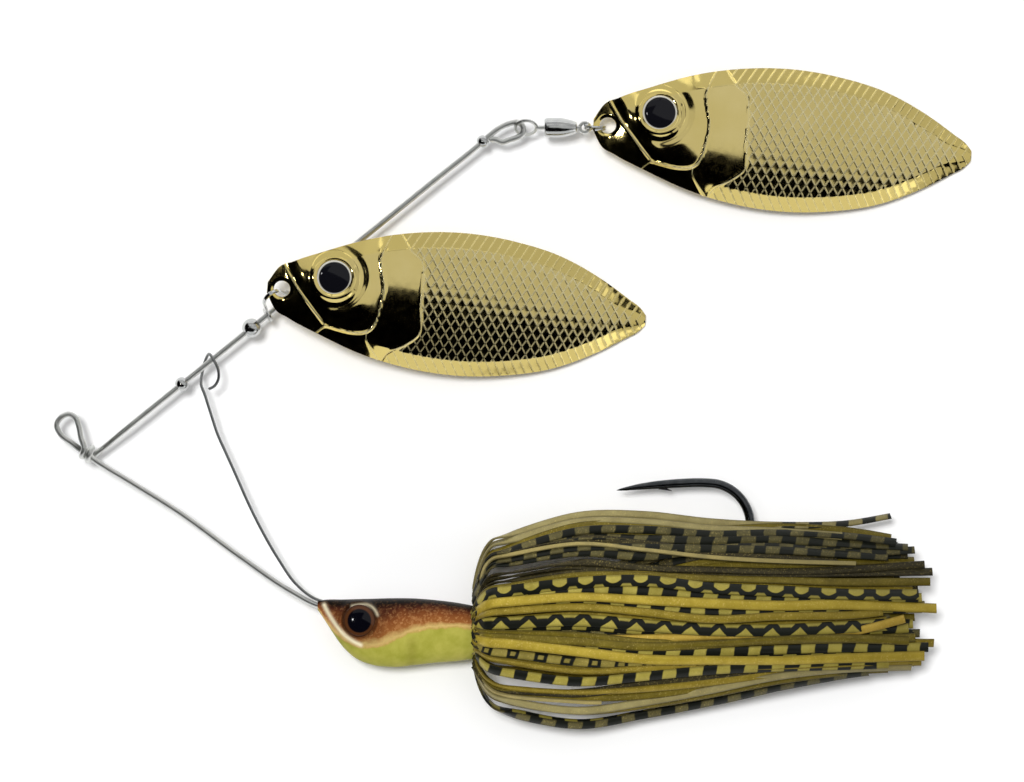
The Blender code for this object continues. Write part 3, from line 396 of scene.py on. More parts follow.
# ---- materials ------------------------------------------------------------------------------------
class Look:
    """A material with one Principled shader, and short ways to add nodes to it."""

    def __init__(self, name, **values):
        self.mat = bpy.data.materials.new(name)
        self.mat.use_nodes = True
        self.nodes = self.mat.node_tree.nodes
        self.links = self.mat.node_tree.links
        self.shader = self.nodes["Principled BSDF"]
        self.set(self.shader, values)

    def set(self, node, values):
        for key, value in values.items():
            socket = node.inputs[key if isinstance(key, int) else key.replace("_", " ")]
            if isinstance(value, bpy.types.NodeSocket):
                self.links.new(value, socket)
            elif isinstance(value, tuple) and len(value) == 3 and socket.type == "RGBA":
                socket.default_value = (*value, 1.0)
            else:
                socket.default_value = value

    def node(self, kind, values=None, **settings):
        node = self.nodes.new("ShaderNode" + kind)
        for key, value in settings.items():
            setattr(node, key, value)
        self.set(node, values or {})
        return node

    def math(self, operation, a, b=0.5, clamp=False):
        return self.node("Math", {0: a, 1: b}, operation=operation, use_clamp=clamp).outputs[0]

    def plus(self, a, b):
        return self.math("ADD", a, b)

    def minus(self, a, b, clamp=False):
        return self.math("SUBTRACT", a, b, clamp)

    def times(self, a, b):
        return self.math("MULTIPLY", a, b)

    def apart(self, a, b=0.5):
        """How far two values are apart."""
        return self.math("ABSOLUTE", self.minus(a, b))

    def wobble(self, size, scale, detail):
        """Noise that swings by half the size either way."""
        return self.times(self.minus(self.noise(scale, detail), 0.5), size)

    def number(self, name):
        return self.node("Attribute", attribute_name=name).outputs["Fac"]

    def position(self):
        return self.node("TexCoord").outputs["Object"]

    def noise(self, scale, detail=3.0, roughness=0.55, vector=None):
        node = self.node("TexNoise", {"Vector": vector or self.position(), "Scale": scale, "Detail": detail,
                                      "Roughness": roughness})
        return node.outputs["Fac"]

    def ramp(self, value, *stops):
        node = self.node("ValToRGB", {"Fac": value})
        ramp = node.color_ramp
        while len(ramp.elements) < len(stops):
            ramp.elements.new(0.5)
        for element, (at, colour) in zip(ramp.elements, stops):
            element.position = at
            element.color = (*colour, 1.0) if isinstance(colour, tuple) else (colour, colour, colour, 1.0)
        return node.outputs["Color"]

    def mix(self, share, a, b):
        node = self.node("Mix", data_type="RGBA")
        self.set(node, {0: share})
        for index, value in ((6, a), (7, b)):
            self.set(node, {index: value})
        return node.outputs[2]

    def range(self, value, low, high, out_low=0.0, out_high=1.0):
        node = self.node("MapRange", {"Value": value, "From_Min": low, "From_Max": high,
                                      "To_Min": out_low, "To_Max": out_high})
        return node.outputs["Result"]

    def bump(self, height, strength, distance):
        node = self.node("Bump", {"Height": height, "Strength": strength, "Distance": distance})
        self.set(self.shader, {"Normal": node.outputs["Normal"]})


def gold_plate():
    """Plated gold: mirror-like between the raised lines and duller on the lines and the net, with a painted
    highlight that makes the lines paler and painted shade in the cells between them.
    """
    look = Look("gold_plate_look", Metallic=1.0)
    s, w, net, raised, edge = (look.number(key) for key in ("s", "w", "net", "raised", "edge"))
    along = look.times(s, math.sin(NET_ANGLE) / NET_SPACING)
    across = look.times(w, math.cos(NET_ANGLE) / NET_SPACING)
    lines = []
    for operation in ("SUBTRACT", "ADD"):
        cell = look.math("FRACT", look.plus(look.math(operation, along, across), 200.0))
        fold = look.times(look.apart(cell), 2.0)
        lines.append(look.range(fold, 0.70, 0.92))
    crossed = look.math("MAXIMUM", lines[0], lines[1])
    node = look.times(lines[0], lines[1])
    upper = look.range(w, -0.2, 0.2)
    ribs = look.plus(look.times(lines[0], upper),
                     look.times(lines[1], look.minus(1.0, upper)))
    band = look.range(edge, RIM_W + 0.1, RIM_W - 0.3)
    inner = look.times(crossed, look.minus(1.0, band))
    pattern = look.plus(inner, look.times(ribs, band))
    pattern = look.times(pattern, net)
    lifted = look.math("MAXIMUM", pattern, look.range(raised, 0.45, 0.9))

    tint = look.noise(160.0, 4.0)
    colour = look.ramp(tint, (0.25, (0.84, 0.68, 0.24)), (0.75, (0.92, 0.76, 0.32)))
    # painted highlight: the raised lines are mixed towards a pale highlight colour
    colour = look.mix(look.times(lifted, 0.6), colour, (1.0, 0.92, 0.58))
    colour = look.mix(look.times(band, 0.5), colour, (0.96, 0.76, 0.22))
    # painted shade in the cells between the net's lines
    shaded = look.times(look.minus(net, pattern, clamp=True), 0.22)
    colour = look.mix(shaded, colour, (0.50, 0.40, 0.14))
    rough = look.range(look.noise(900.0, 2.0), 0.3, 0.7, 0.06, 0.12)
    rough = look.plus(rough, look.times(lifted, 0.34))
    rough = look.minus(rough, look.times(look.times(node, net), 0.22))
    look.set(look.shader, {"Base_Color": colour, "Roughness": rough})
    dents = look.times(look.noise(1800.0, 2.0), 0.06)
    look.bump(look.plus(pattern, dents), 0.5, 0.00003)
    return look.mat


def steel_wire(name, low, high, rough_low, rough_high):
    look = Look(name, Metallic=1.0)
    tint = look.noise(700.0, 4.0)
    colour = look.ramp(tint, (0.3, low), (0.7, high))
    # painted shade: the wire's colour darkened towards black round the wrap below the line tie
    colour = look.mix(look.times(look.number("painted_wrap_shade"), 0.85), colour, (0.02, 0.02, 0.02))
    rough = look.range(look.noise(2500.0, 3.0), 0.3, 0.7, rough_low, rough_high)
    look.set(look.shader, {"Base_Color": colour, "Roughness": rough})
    look.bump(look.noise(5000.0, 2.0), 0.05, 0.00002)
    return look.mat


def eye_look(name, pupil, iris, ring):
    """A glossy dome: dark pupil, iris and a pale ring, by the share of the radius."""
    look = Look(name, Roughness=0.07, Specular_IOR_Level=0.26)
    share = look.number("radial")
    colour = look.ramp(share, (0.0, pupil), (0.70, pupil), (0.77, iris), (0.88, iris), (0.93, ring))
    speckle = look.noise(4000.0, 2.0)
    look.set(look.shader, {"Base_Color": look.mix(look.times(speckle, 0.25), colour, pupil)})
    return look.mat


def head_paint():
    """Copper flake over chartreuse, dark along the back, with a painted highlight along the lead's crests
    and painted shade round the eyes.
    """
    look = Look("head_paint_look", Coat_Weight=0.01, Coat_Roughness=0.25, Roughness=0.42,
                Specular_IOR_Level=0.03)
    back, crest, shade = (look.number(key) for key in ("back", "crest", "shade"))
    wobble = look.wobble(0.16, 500.0, 3.0)
    share = look.plus(back, wobble)
    flakes = look.node("TexVoronoi", {"Vector": look.position(), "Scale": 3600.0}, feature="F1")
    sparkle = look.ramp(flakes.outputs["Color"], (0.50, 0.0), (0.95, 1.0))
    belly = look.ramp(look.noise(420.0, 4.0), (0.3, (0.31, 0.31, 0.040)), (0.7, (0.46, 0.425, 0.085)))
    copper = look.ramp(share, (0.50, (0.40, 0.15, 0.04)), (0.70, (0.24, 0.075, 0.022)),
                       (0.82, (0.070, 0.020, 0.010)), (0.91, (0.006, 0.004, 0.003)))
    glint = look.times(sparkle, look.range(share, 0.95, 0.6, 0.03, 0.42))
    copper = look.mix(glint, copper, (0.80, 0.42, 0.16))
    cream = look.range(look.apart(share, 0.49), 0.075, 0.0)
    copper = look.mix(look.times(cream, 0.75), copper, (0.80, 0.62, 0.22))
    colour = look.mix(look.range(share, 0.43, 0.47), belly, copper)
    colour = look.mix(look.times(shade, 0.7), colour, (0.040, 0.014, 0.006))
    # painted highlight: cream along the lip and the brow
    colour = look.mix(crest, colour, (1.0, 0.90, 0.62))
    metallic = look.range(share, 0.43, 0.5, 0.0, 0.35)
    look.set(look.shader, {"Base_Color": colour, "Metallic": metallic})
    look.bump(flakes.outputs["Distance"], 0.10, 0.00005)
    return look.mat


def silicone(name, light, deep, pattern, gold=0.0):
    """A flat silicone strand, with the black bars that its pattern prints along it."""
    look = Look(name, Roughness=0.42, Coat_Weight=0.08, Coat_Roughness=0.2, Specular_IOR_Level=0.22)
    along, across, seed = (look.number(key) for key in ("along", "across", "seed"))
    mottle = look.noise(420.0, 4.0)
    colour = look.ramp(mottle, (0.25, deep), (0.75, light))
    flakes = look.node("TexVoronoi", {"Vector": look.position(), "Scale": 6500.0}, feature="F1")
    sparkle = look.ramp(flakes.outputs["Color"], (0.72, 0.0), (0.98, 1.0))
    colour = look.mix(look.times(sparkle, 0.25 + 0.5 * gold), colour, (0.85, 0.66, 0.2))
    shadow = tuple(0.35 * c for c in deep)
    colour = look.mix(look.range(look.math("ABSOLUTE", across), 0.55, 1.0, 0.0, 0.65), colour, shadow)
    colour = look.mix(look.range(along, 30.0, 66.0, 0.0, 0.55), colour, shadow)
    drift = look.wobble(0.9, 260.0, 3.0)
    printed = look.plus(look.plus(along, drift), look.times(across, 0.12))
    phase = look.math("FRACT", look.plus(look.math("DIVIDE", printed, BAR_PITCH), seed))
    ink = pattern(look, phase, across, along)
    if ink:
        colour = look.mix(ink, colour, (0.008, 0.009, 0.006))
    look.set(look.shader, {"Base_Color": colour, "Metallic": 0.08 + 0.35 * gold})
    look.bump(look.noise(1500.0, 3.0), 0.12, 0.00006)
    return look.mat


def no_ink(look, phase, across, along):
    return None


def bar_ink(look, phase, across, along):
    wave = look.apart(phase)
    wave = look.plus(wave, look.wobble(0.22, 330.0, 2.0))
    return look.range(wave, 0.27, 0.23)


def ring_ink(look, phase, across, along):
    wave = look.apart(phase)
    bar = look.range(wave, 0.26, 0.22)
    heart = look.times(look.range(wave, 0.12, 0.08),
                      look.range(look.math("ABSOLUTE", across), 0.55, 0.4))
    return look.minus(bar, look.times(heart, 0.85), clamp=True)


def zigzag_ink(look, phase, across, along):
    fold = look.times(look.apart(phase), 2.0)
    up = look.range(across, -1.0, 1.0)
    gap = look.apart(look.minus(1.0, up), fold)
    line = look.range(gap, 0.35, 0.28)
    block = look.times(look.range(fold, 0.40, 0.32), look.range(up, 0.20, 0.35))
    return look.math("MAXIMUM", line, block)


def arch_ink(look, phase, across, along):
    fold = look.times(look.apart(phase), 2.0)
    up = look.range(across, -1.0, 1.0)
    bow = look.minus(1.0, look.math("POWER", fold, 2.0))
    gap = look.apart(up, bow)
    line = look.range(gap, 0.33, 0.27)
    foot = look.times(look.range(fold, 0.50, 0.58), look.range(up, 0.85, 0.7))
    return look.math("MAXIMUM", line, foot)


def end_ink(look, phase, across, along):
    bars = bar_ink(look, phase, across, along)
    return look.times(bars, look.range(along, 56.0, 58.0))


def strand_looks():
    """A material for each kind of strand: its light and deep tone, its print and its gold flake."""
    tan, tan_deep = (0.36, 0.31, 0.13), (0.24, 0.20, 0.08)
    yellow, yellow_deep = (0.44, 0.37, 0.075), (0.27, 0.22, 0.035)
    kinds = (
        ("plain", tan, tan_deep, no_ink),
        ("stray", tan, tan_deep, end_ink),
        ("thin", (0.40, 0.32, 0.11), tan_deep, no_ink),
        ("olive", (0.19, 0.145, 0.014), (0.10, 0.075, 0.007), no_ink),
        ("amber", (0.34, 0.25, 0.030), (0.20, 0.145, 0.013), no_ink, 0.3),
        ("gold", (0.56, 0.42, 0.055), (0.36, 0.26, 0.025), no_ink, 0.5),
        ("glitter", (0.80, 0.55, 0.10), (0.45, 0.30, 0.04), no_ink, 1.0),
        ("bars", yellow, yellow_deep, bar_ink),
        ("zigzag", yellow, yellow_deep, zigzag_ink),
        ("arches", yellow, yellow_deep, arch_ink),
        ("rings", (0.32, 0.26, 0.06), (0.20, 0.16, 0.03), ring_ink),
        ("dusk", (0.14, 0.12, 0.045), (0.07, 0.06, 0.022), bar_ink),
        ("dark", (0.055, 0.045, 0.016), (0.022, 0.018, 0.007), no_ink),
        ("fill", (0.06, 0.05, 0.02), (0.03, 0.025, 0.010), bar_ink),
    )
    return {kind: silicone(f"strand_{kind}", *values) for kind, *values in kinds}


# ---- blades ---------------------------------------------------------------------------------------
def blade_half(s):
    return table_value(BLADE_OUTLINE, s, 1)


def ridge(distance, width):
    return np.exp(-(distance / width) ** 2)


def net_height(s, w, edge):
    """Crossed ridges in the middle, and the same ridges one way only on the band at the edge."""
    first = (s * math.sin(NET_ANGLE) - w * math.cos(NET_ANGLE)) / NET_SPACING
    second = (s * math.sin(NET_ANGLE) + w * math.cos(NET_ANGLE)) / NET_SPACING
    sharp = [((1 + np.cos(2 * math.pi * p)) / 2) ** 5 for p in (first, second)]
    crossed = np.maximum(sharp[0], sharp[1])
    one_way = np.where(w > 0, sharp[0], sharp[1])
    band = smoothstep(RIM_W + 0.1, RIM_W - 0.5, edge)
    return smoothstep(0.15, 0.5, edge) * (0.022 * crossed * (1 - band) + 0.024 * one_way * band)


def blade_lines():
    return [smooth_path(line, 8) for line in (MOUTH_LINE, JAW_LINE, GILL_LINE, PLATE_LINE, WEDGE_LINE)]


def blade_surface(s, w):
    """The embossed face over the blade's edge, with the share of net and of raised line at each point."""
    half = blade_half(s)
    edge = np.maximum(half - np.abs(w), 0)
    band = np.clip(1 - edge / np.minimum(RIM_W, half * 0.6), 0, 1)
    drop = 0.15 + 0.50 * smoothstep(12.0, 17.0, s)
    height = table_value(BLADE_CROWN, s, 1) * (1 - 0.42 * (np.abs(w) / half) ** 2) * (1 - drop * band**1.25)

    mouth, jaw, gill, plate, wedge = blade_lines()
    cheek = np.vstack([gill, np.array([(15.9, 14.0), (-6.0, 14.0)]), mouth])
    body = np.vstack([plate, wedge[1:], gill[10:], np.array([(15.9, 14.0), (17.3, 14.0)])])
    cheek_in = signed_distance(s, w, cheek)
    body_in = signed_distance(s, w, body)
    from_mouth = line_distance(s, w, mouth)
    ramp = smoothstep(0.0, 2.0, from_mouth) * smoothstep(9.0, 3.0, from_mouth)
    height += (0.10 + 0.32 * ramp) * smoothstep(-0.25, 0.12, cheek_in)
    height += 0.16 * smoothstep(-0.2, 0.12, body_in)
    raised = np.zeros(np.shape(s))
    for line, rise in ((mouth, 0.12), (jaw, 0.08), (gill, 0.12), (plate, 0.09), (wedge, 0.06)):
        crest = ridge(line_distance(s, w, line), 0.17)
        height += rise * crest
        raised = np.maximum(raised, crest)

    bulge = np.exp(-((s - 11.2) / 2.6) ** 2 - ((w + 0.4) / 3.4) ** 2)
    height += 0.42 * bulge * smoothstep(-0.2, 1.2, cheek_in)
    reach = np.hypot(s - BLADE_EYE[0], w - BLADE_EYE[1])
    around = np.arctan2(w - BLADE_EYE[1], s - BLADE_EYE[0])
    height += 0.24 * ridge(reach - 3.1, 0.5)
    behind = 0.5 + 0.5 * np.cos(around + 0.35)
    height -= (0.02 + 0.26 * behind**2) * ridge(reach - 4.3, 0.75)

    net = smoothstep(0.05, 0.35, -body_in) * smoothstep(13.9, 15.3, s - 0.25 * np.abs(w + 1))
    net *= smoothstep(0.1, 0.4, -cheek_in)
    height += net_height(s, w, edge) * net
    side_line = smooth_path(((21.5, 6.6), (28.0, 7.3), (36.0, 6.6), (44.0, 4.7), (50.0, 2.6)), 6)
    height += 0.025 * ridge(line_distance(s, w, side_line), 0.25) * net
    return height, net, raised


def blade_frame(pose):
    hole, turn, droop, roll = pose
    turned_by = Matrix.Rotation(math.radians(turn), 4, "Z") @ Matrix.Rotation(math.radians(droop), 4, "Y")
    return Matrix.Translation(hole) @ turned_by @ Matrix.Rotation(math.radians(roll), 4, "X")


def to_frame(matrix, points):
    m = np.array(matrix)
    return points @ m[:3, :3].T + m[:3, 3]


def build_blade(name, pose, body, gold):
    start, end = BLADE_OUTLINE[0][0], BLADE_OUTLINE[-1][0]
    share = np.linspace(0, 1, BLADE_ROWS + 1)
    s_line = start + (end - start) * (share - 0.08 * np.sin(2 * math.pi * share))
    across = np.linspace(-1, 1, BLADE_COLUMNS + 1)
    s, a = np.meshgrid(s_line, across, indexing="ij")
    w = a * blade_half(s)
    reach = np.hypot(s, w)
    grow = np.where(reach > 1e-6, np.maximum(reach, BLADE_HOLE_R) / np.maximum(reach, 1e-6), 1.0)
    height, net, raised = blade_surface(s, w)
    height += 0.03 * ridge(reach - BLADE_HOLE_R - 0.35, 0.3)
    hole = reach < BLADE_HOLE_R
    s, w = np.where(hole, s * grow, s), np.where(hole, w * grow, w)
    count = s.size
    half_thick = BLADE_T / 2 * (1 - 0.5 * ridge(np.maximum(reach - BLADE_HOLE_R, 0.0), 0.4))
    top = np.stack([s, w, height + half_thick], -1).reshape(-1, 3)
    low = np.stack([s, w, height - half_thick], -1).reshape(-1, 3)
    index = np.arange(count).reshape(s.shape)
    quads = np.stack([index[:-1, :-1], index[1:, :-1], index[1:, 1:], index[:-1, 1:]], -1).reshape(-1, 4)
    corner_in = hole.reshape(-1)[quads]
    kept = quads[~corner_in.all(1)]
    faces = kept.tolist() + (kept[:, ::-1] + count).tolist()
    rim = np.concatenate([index[:, 0], index[-1, 1:], index[-2::-1, -1], index[0, -2:0:-1]])
    for i, j in zip(rim, np.roll(rim, -1)):
        faces.append((int(j), int(i), int(i) + count, int(j) + count))
    edges = {}
    for quad in kept.tolist():
        for i, j in zip(quad, quad[1:] + quad[:1]):
            edges[(i, j)] = True
    rim_set = set(rim.tolist())
    for i, j in edges:
        if (j, i) not in edges and not (i in rim_set and j in rim_set):
            faces.append((j, i, i + count, j + count))
    points = to_frame(blade_frame(pose), np.vstack([top, low]))
    edge = blade_half(s) - np.abs(w)
    data = {"s": s, "w": w, "net": net, "raised": raised, "edge": edge}
    data = {key: np.tile(values.reshape(-1), 2) for key, values in data.items()}
    obj = make_object(f"{name}_embossed", points, faces, gold, data)
    clean_mesh(obj)
    sharpen(obj)
    place(obj, body, [name])


def build_dome(name, mat, radius, height, point_at):
    """A domed eye that follows the surface under it, with a rolled edge."""
    segments, rings = 48, 14
    vertices, faces, radial = [], [], []
    angles = [i / rings * math.pi / 2 for i in range(rings + 1)]
    profile = [(math.sin(a), math.cos(a)) for a in angles]
    profile.append((1.0, -0.6))
    for share, rise in profile:
        for k in range(segments):
            a = 2 * math.pi * k / segments
            reach = radius * share
            vertices.append(point_at(reach * math.cos(a), reach * math.sin(a), height * rise))
            radial.append(share)
    for ring in range(len(profile) - 1):
        for k in range(segments):
            j = (k + 1) % segments
            faces.append((ring * segments + k, (ring + 1) * segments + k, (ring + 1) * segments + j,
                          ring * segments + j))
    faces.append(tuple(range((len(profile) - 1) * segments, len(profile) * segments)))
    obj = make_object(name, vertices, faces, mat, {"radial": radial})
    clean_mesh(obj, merge=1e-6)
    return obj


def build_blade_eye(name, pose, body, mat):
    matrix = blade_frame(pose)
    base = float(blade_surface(np.array([BLADE_EYE[0]]), np.array([BLADE_EYE[1]]))[0][0]) + BLADE_T / 2

    def point_at(u, v, rise):
        return matrix @ Vector((BLADE_EYE[0] + u, BLADE_EYE[1] + v, base + 0.06 * u + 0.12 + rise))

    obj = build_dome(f"{name}_dome", mat, BLADE_EYE_R, EYE_DOME_H, point_at)
    place(obj, body, [name])


# ---- head -----------------------------------------------------------------------------------------
def head_half_thickness(x, y):
    top, bottom, half = (table_value(HEAD_STATIONS, x, k) for k in (1, 2, 3))
    mid, reach = (top + bottom) / 2, (top - bottom) / 2
    return half * np.maximum(1 - np.abs((y - mid) / reach) ** HEAD_POWER, 0) ** (1 / HEAD_POWER)


def build_head(paint):
    """The cast head: a brow and socket round each eye, a ridge along the lip and a gill step."""
    stations, around = 150, 128
    first, last = HEAD_STATIONS[0][0], HEAD_STATIONS[-1][0]
    share = np.linspace(0, 1, stations + 1) ** 1.12
    xs = first + (last - first) * share
    angle = np.linspace(0, 2 * math.pi, around, endpoint=False)
    x, a = np.meshgrid(xs, angle, indexing="ij")
    top, bottom, half = (table_value(HEAD_STATIONS, x, k) for k in (1, 2, 3))
    mid, reach = (top + bottom) / 2, (top - bottom) / 2
    c, s = np.cos(a), np.sin(a)
    y = mid + reach * np.sign(c) * np.abs(c) ** (2 / HEAD_POWER)
    z = half * np.sign(s) * np.abs(s) ** (2 / HEAD_POWER)
    side = np.sign(z)
    eye = np.hypot(x - HEAD_EYE[0], y - HEAD_EYE[1])
    rise = 0.30 * ridge(eye - 2.95, 0.42) - 0.30 * smoothstep(2.9, 2.4, eye)
    brow = smooth_path(((-24.2, -31.95), (-23.0, -31.75), (-21.9, -31.75), (-20.95, -32.3),
                        (-20.4, -33.2)), 6)
    from_brow = line_distance(x, y, brow)
    rise += 0.22 * ridge(from_brow, 0.38)
    lip = smooth_path(((-28.5, -31.8), (-27.8, -33.1), (-26.7, -34.75), (-25.4, -36.2), (-24.1, -37.15),
                       (-22.9, -37.75)), 6)
    from_lip = line_distance(x, y, lip)
    rise += 0.22 * ridge(from_lip, 0.5)
    # painted highlight along the lip and the brow, on the sides only
    crest = np.maximum(ridge(from_lip, 0.30), 0.6 * ridge(from_brow, 0.24)) * (np.abs(z) > 0.25 * half)
    shade = np.maximum(ridge(eye - 2.55, 0.35), smoothstep(2.5, 2.3, eye))
    shade = np.maximum(shade, 0.35 * ridge(eye - 3.3, 0.7) * (y < HEAD_EYE[1] + 1))
    shade = np.maximum(shade, 0.20 * ridge(x + 15.2, 0.9) * smoothstep(-36.2, -37.4, y))
    rise += 0.16 * smoothstep(-14.6, -15.1, x) * smoothstep(-6.0, -9.0, -np.abs(x + 19))
    z = z + side * rise * smoothstep(0.0, 0.5, np.abs(z) / half)
    border = table_value(((-29.5, -32.3), (-28.5, -34.0), (-27.0, -35.9), (-24.0, -37.9), (-21.5, -38.2),
                          (-19.0, -37.6), (-15.6, -35.9), (-14.0, -35.4), (-5.6, -35.0)), x, 1)
    span = np.where(y > border, top - border, border - bottom)
    tone = 0.46 + 0.5 * ((y - border) / span)
    points = np.stack([x, y, z + PLANE_Z], -1)
    barrel = ((last + 0.02, 3.0), (-0.7, 3.0), (-0.5, 3.3), (0.1, 3.3), (1.3, 2.3), (1.6, 1.9))
    none = np.zeros((len(barrel), around))
    crest, shade = np.concatenate([crest, none]), np.concatenate([shade, none])
    for bx, radius in barrel:
        ring = np.stack([np.full(around, bx), SHANK_Y + radius * np.cos(angle),
                         PLANE_Z + radius * np.sin(angle)], -1)
        points = np.concatenate([points, ring[None]])
        tone = np.concatenate([tone, np.full((1, around), 0.2)])
    faces = ring_faces(len(points), around)
    data = {"back": tone.reshape(-1), "crest": crest.reshape(-1), "shade": shade.reshape(-1)}
    obj = make_object("head_cast", points.reshape(-1, 3), faces, paint, data)
    sharpen(obj)
    place(obj, "wire_frame", ["head"])


def build_head_eyes(mat):
    base = float(head_half_thickness(np.array([HEAD_EYE[0]]), np.array([HEAD_EYE[1]]))[0])
    for name, side in (("head_eye_near", 1.0), ("head_eye_far", -1.0)):
        def point_at(u, v, rise, side=side):
            tilt = 0.09 * u - 0.04 * v
            return Vector((HEAD_EYE[0] + u, HEAD_EYE[1] + v, PLANE_Z + side * (base + tilt - 0.22 + rise)))

        obj = build_dome(f"{name}_dome", mat, HEAD_EYE_R, EYE_DOME_H, point_at)
        place(obj, "wire_frame", [name])


# ---- skirt ----------------------------------------------------------------------------------------
def skirt_point(x, across, layer, side):
    """A point on the skirt's outside; side is 1 for the top and -1 for the underside."""
    above, below, near = (float(table_value(SKIRT_OUTLINE, x, k)) for k in (1, 2, 3))
    reach = above if across >= 0 else below
    share = min(abs(across) / reach, 1.0)
    if side > 0:
        z = PLANE_Z + (near - layer * 0.55) * math.sqrt(max(1 - share**2, 0.0))
        return np.array([x, SHANK_Y + across, z])
    z = PLANE_Z - min(near, PLANE_Z + 2.0) * math.sqrt(max(1 - share**2, 0.0))
    return np.array([x, SHANK_Y + across, max(z, 0.6) + layer * 0.4])


def strand_route(places, end_x, layer, side, lift):
    """From under the collar's front edge, out over the bulge, and back along the skirt."""
    front = skirt_point(STATIONS[0], places[0], 0, side)
    out = front - np.array([STATIONS[0], SHANK_Y, PLANE_Z])
    out[0] = 0
    out /= np.linalg.norm(out)
    axis = np.array([0.0, SHANK_Y, PLANE_Z])
    points = [axis + out * UNDER_COLLAR_R + np.array([COLLAR_FRONT_X + 1.2, 0, 0]),
              axis + out * FRONT_EDGE_R + np.array([COLLAR_FRONT_X - 0.5, 0, 0]), front]
    column = 1 if places[1] >= 0 else 2
    narrowing = float(table_value(SKIRT_OUTLINE, BULGE_X, column) / table_value(SKIRT_OUTLINE, 0.0, column))
    points.append(skirt_point(BULGE_X, places[1] * narrowing, min(layer, OUTER_LAYERS), side))
    for x, across in zip(STATIONS[1:], places[1:-1]):
        if x < end_x - 3.0:
            inner = max(layer - OUTER_LAYERS, 0.0)
            deep = min(layer, OUTER_LAYERS) + inner * float(smoothstep(4.0, 24.0, x))
            points.append(skirt_point(x, across, deep, side))
    end_layer = min(layer, OUTER_LAYERS + 0.6 * max(layer - OUTER_LAYERS, 0.0))
    end = skirt_point(end_x, places[-1], end_layer, side)
    points.append(end + np.array([0, 0, lift]))
    return smooth_path(points, 9)


def strand_mesh(route, twist, width):
    """A flat strip with rounded edges along a route; returns its points, faces and attributes."""
    tangent = np.gradient(route, axis=0)
    tangent /= np.linalg.norm(tangent, axis=1)[:, None]
    out = route - np.array([0.0, SHANK_Y, PLANE_Z])
    out[:, 0] = 0
    out /= np.maximum(np.linalg.norm(out, axis=1)[:, None], 1e-6)
    up = np.sign(out[:, 2:3] + 1e-6) * np.array([[0.0, 0.0, 1.0]])
    blend = smoothstep(-3.0, 2.0, route[:, 0])[:, None] * 0.62
    normal = out * (1 - blend) + up * blend
    normal -= (normal * tangent).sum(1)[:, None] * tangent
    normal /= np.linalg.norm(normal, axis=1)[:, None]
    side = np.cross(tangent, normal)
    turn = twist(route[:, 0])[:, None]
    side, normal = (side * np.cos(turn) + normal * np.sin(turn),
                    normal * np.cos(turn) - side * np.sin(turn))
    outline = ((1.0, 0.25), (0.86, 0.9), (0.0, 1.0), (-0.86, 0.9), (-1.0, 0.25), (-1.0, -0.25),
               (-0.86, -0.9), (0.0, -1.0), (0.86, -0.9), (1.0, -0.25))
    rings = [route + side * a * width / 2 + normal * b * STRAND_T / 2 for a, b in outline]
    points = np.stack(rings, 1)
    steps = np.linalg.norm(np.diff(route, axis=0), axis=1)
    along = np.concatenate([[0], np.cumsum(steps)])
    count = len(outline)
    index = np.arange(points.shape[0] * count).reshape(-1, count)
    following = np.roll(index, -1, axis=1)
    faces = np.stack([index[:-1], index[1:], following[1:], following[:-1]], -1).reshape(-1, 4).tolist()
    faces += [index[0].tolist(), index[-1][::-1].tolist()]
    across = np.tile([a for a, _ in outline], points.shape[0])
    return points.reshape(-1, 3), faces, np.repeat(along, count), across


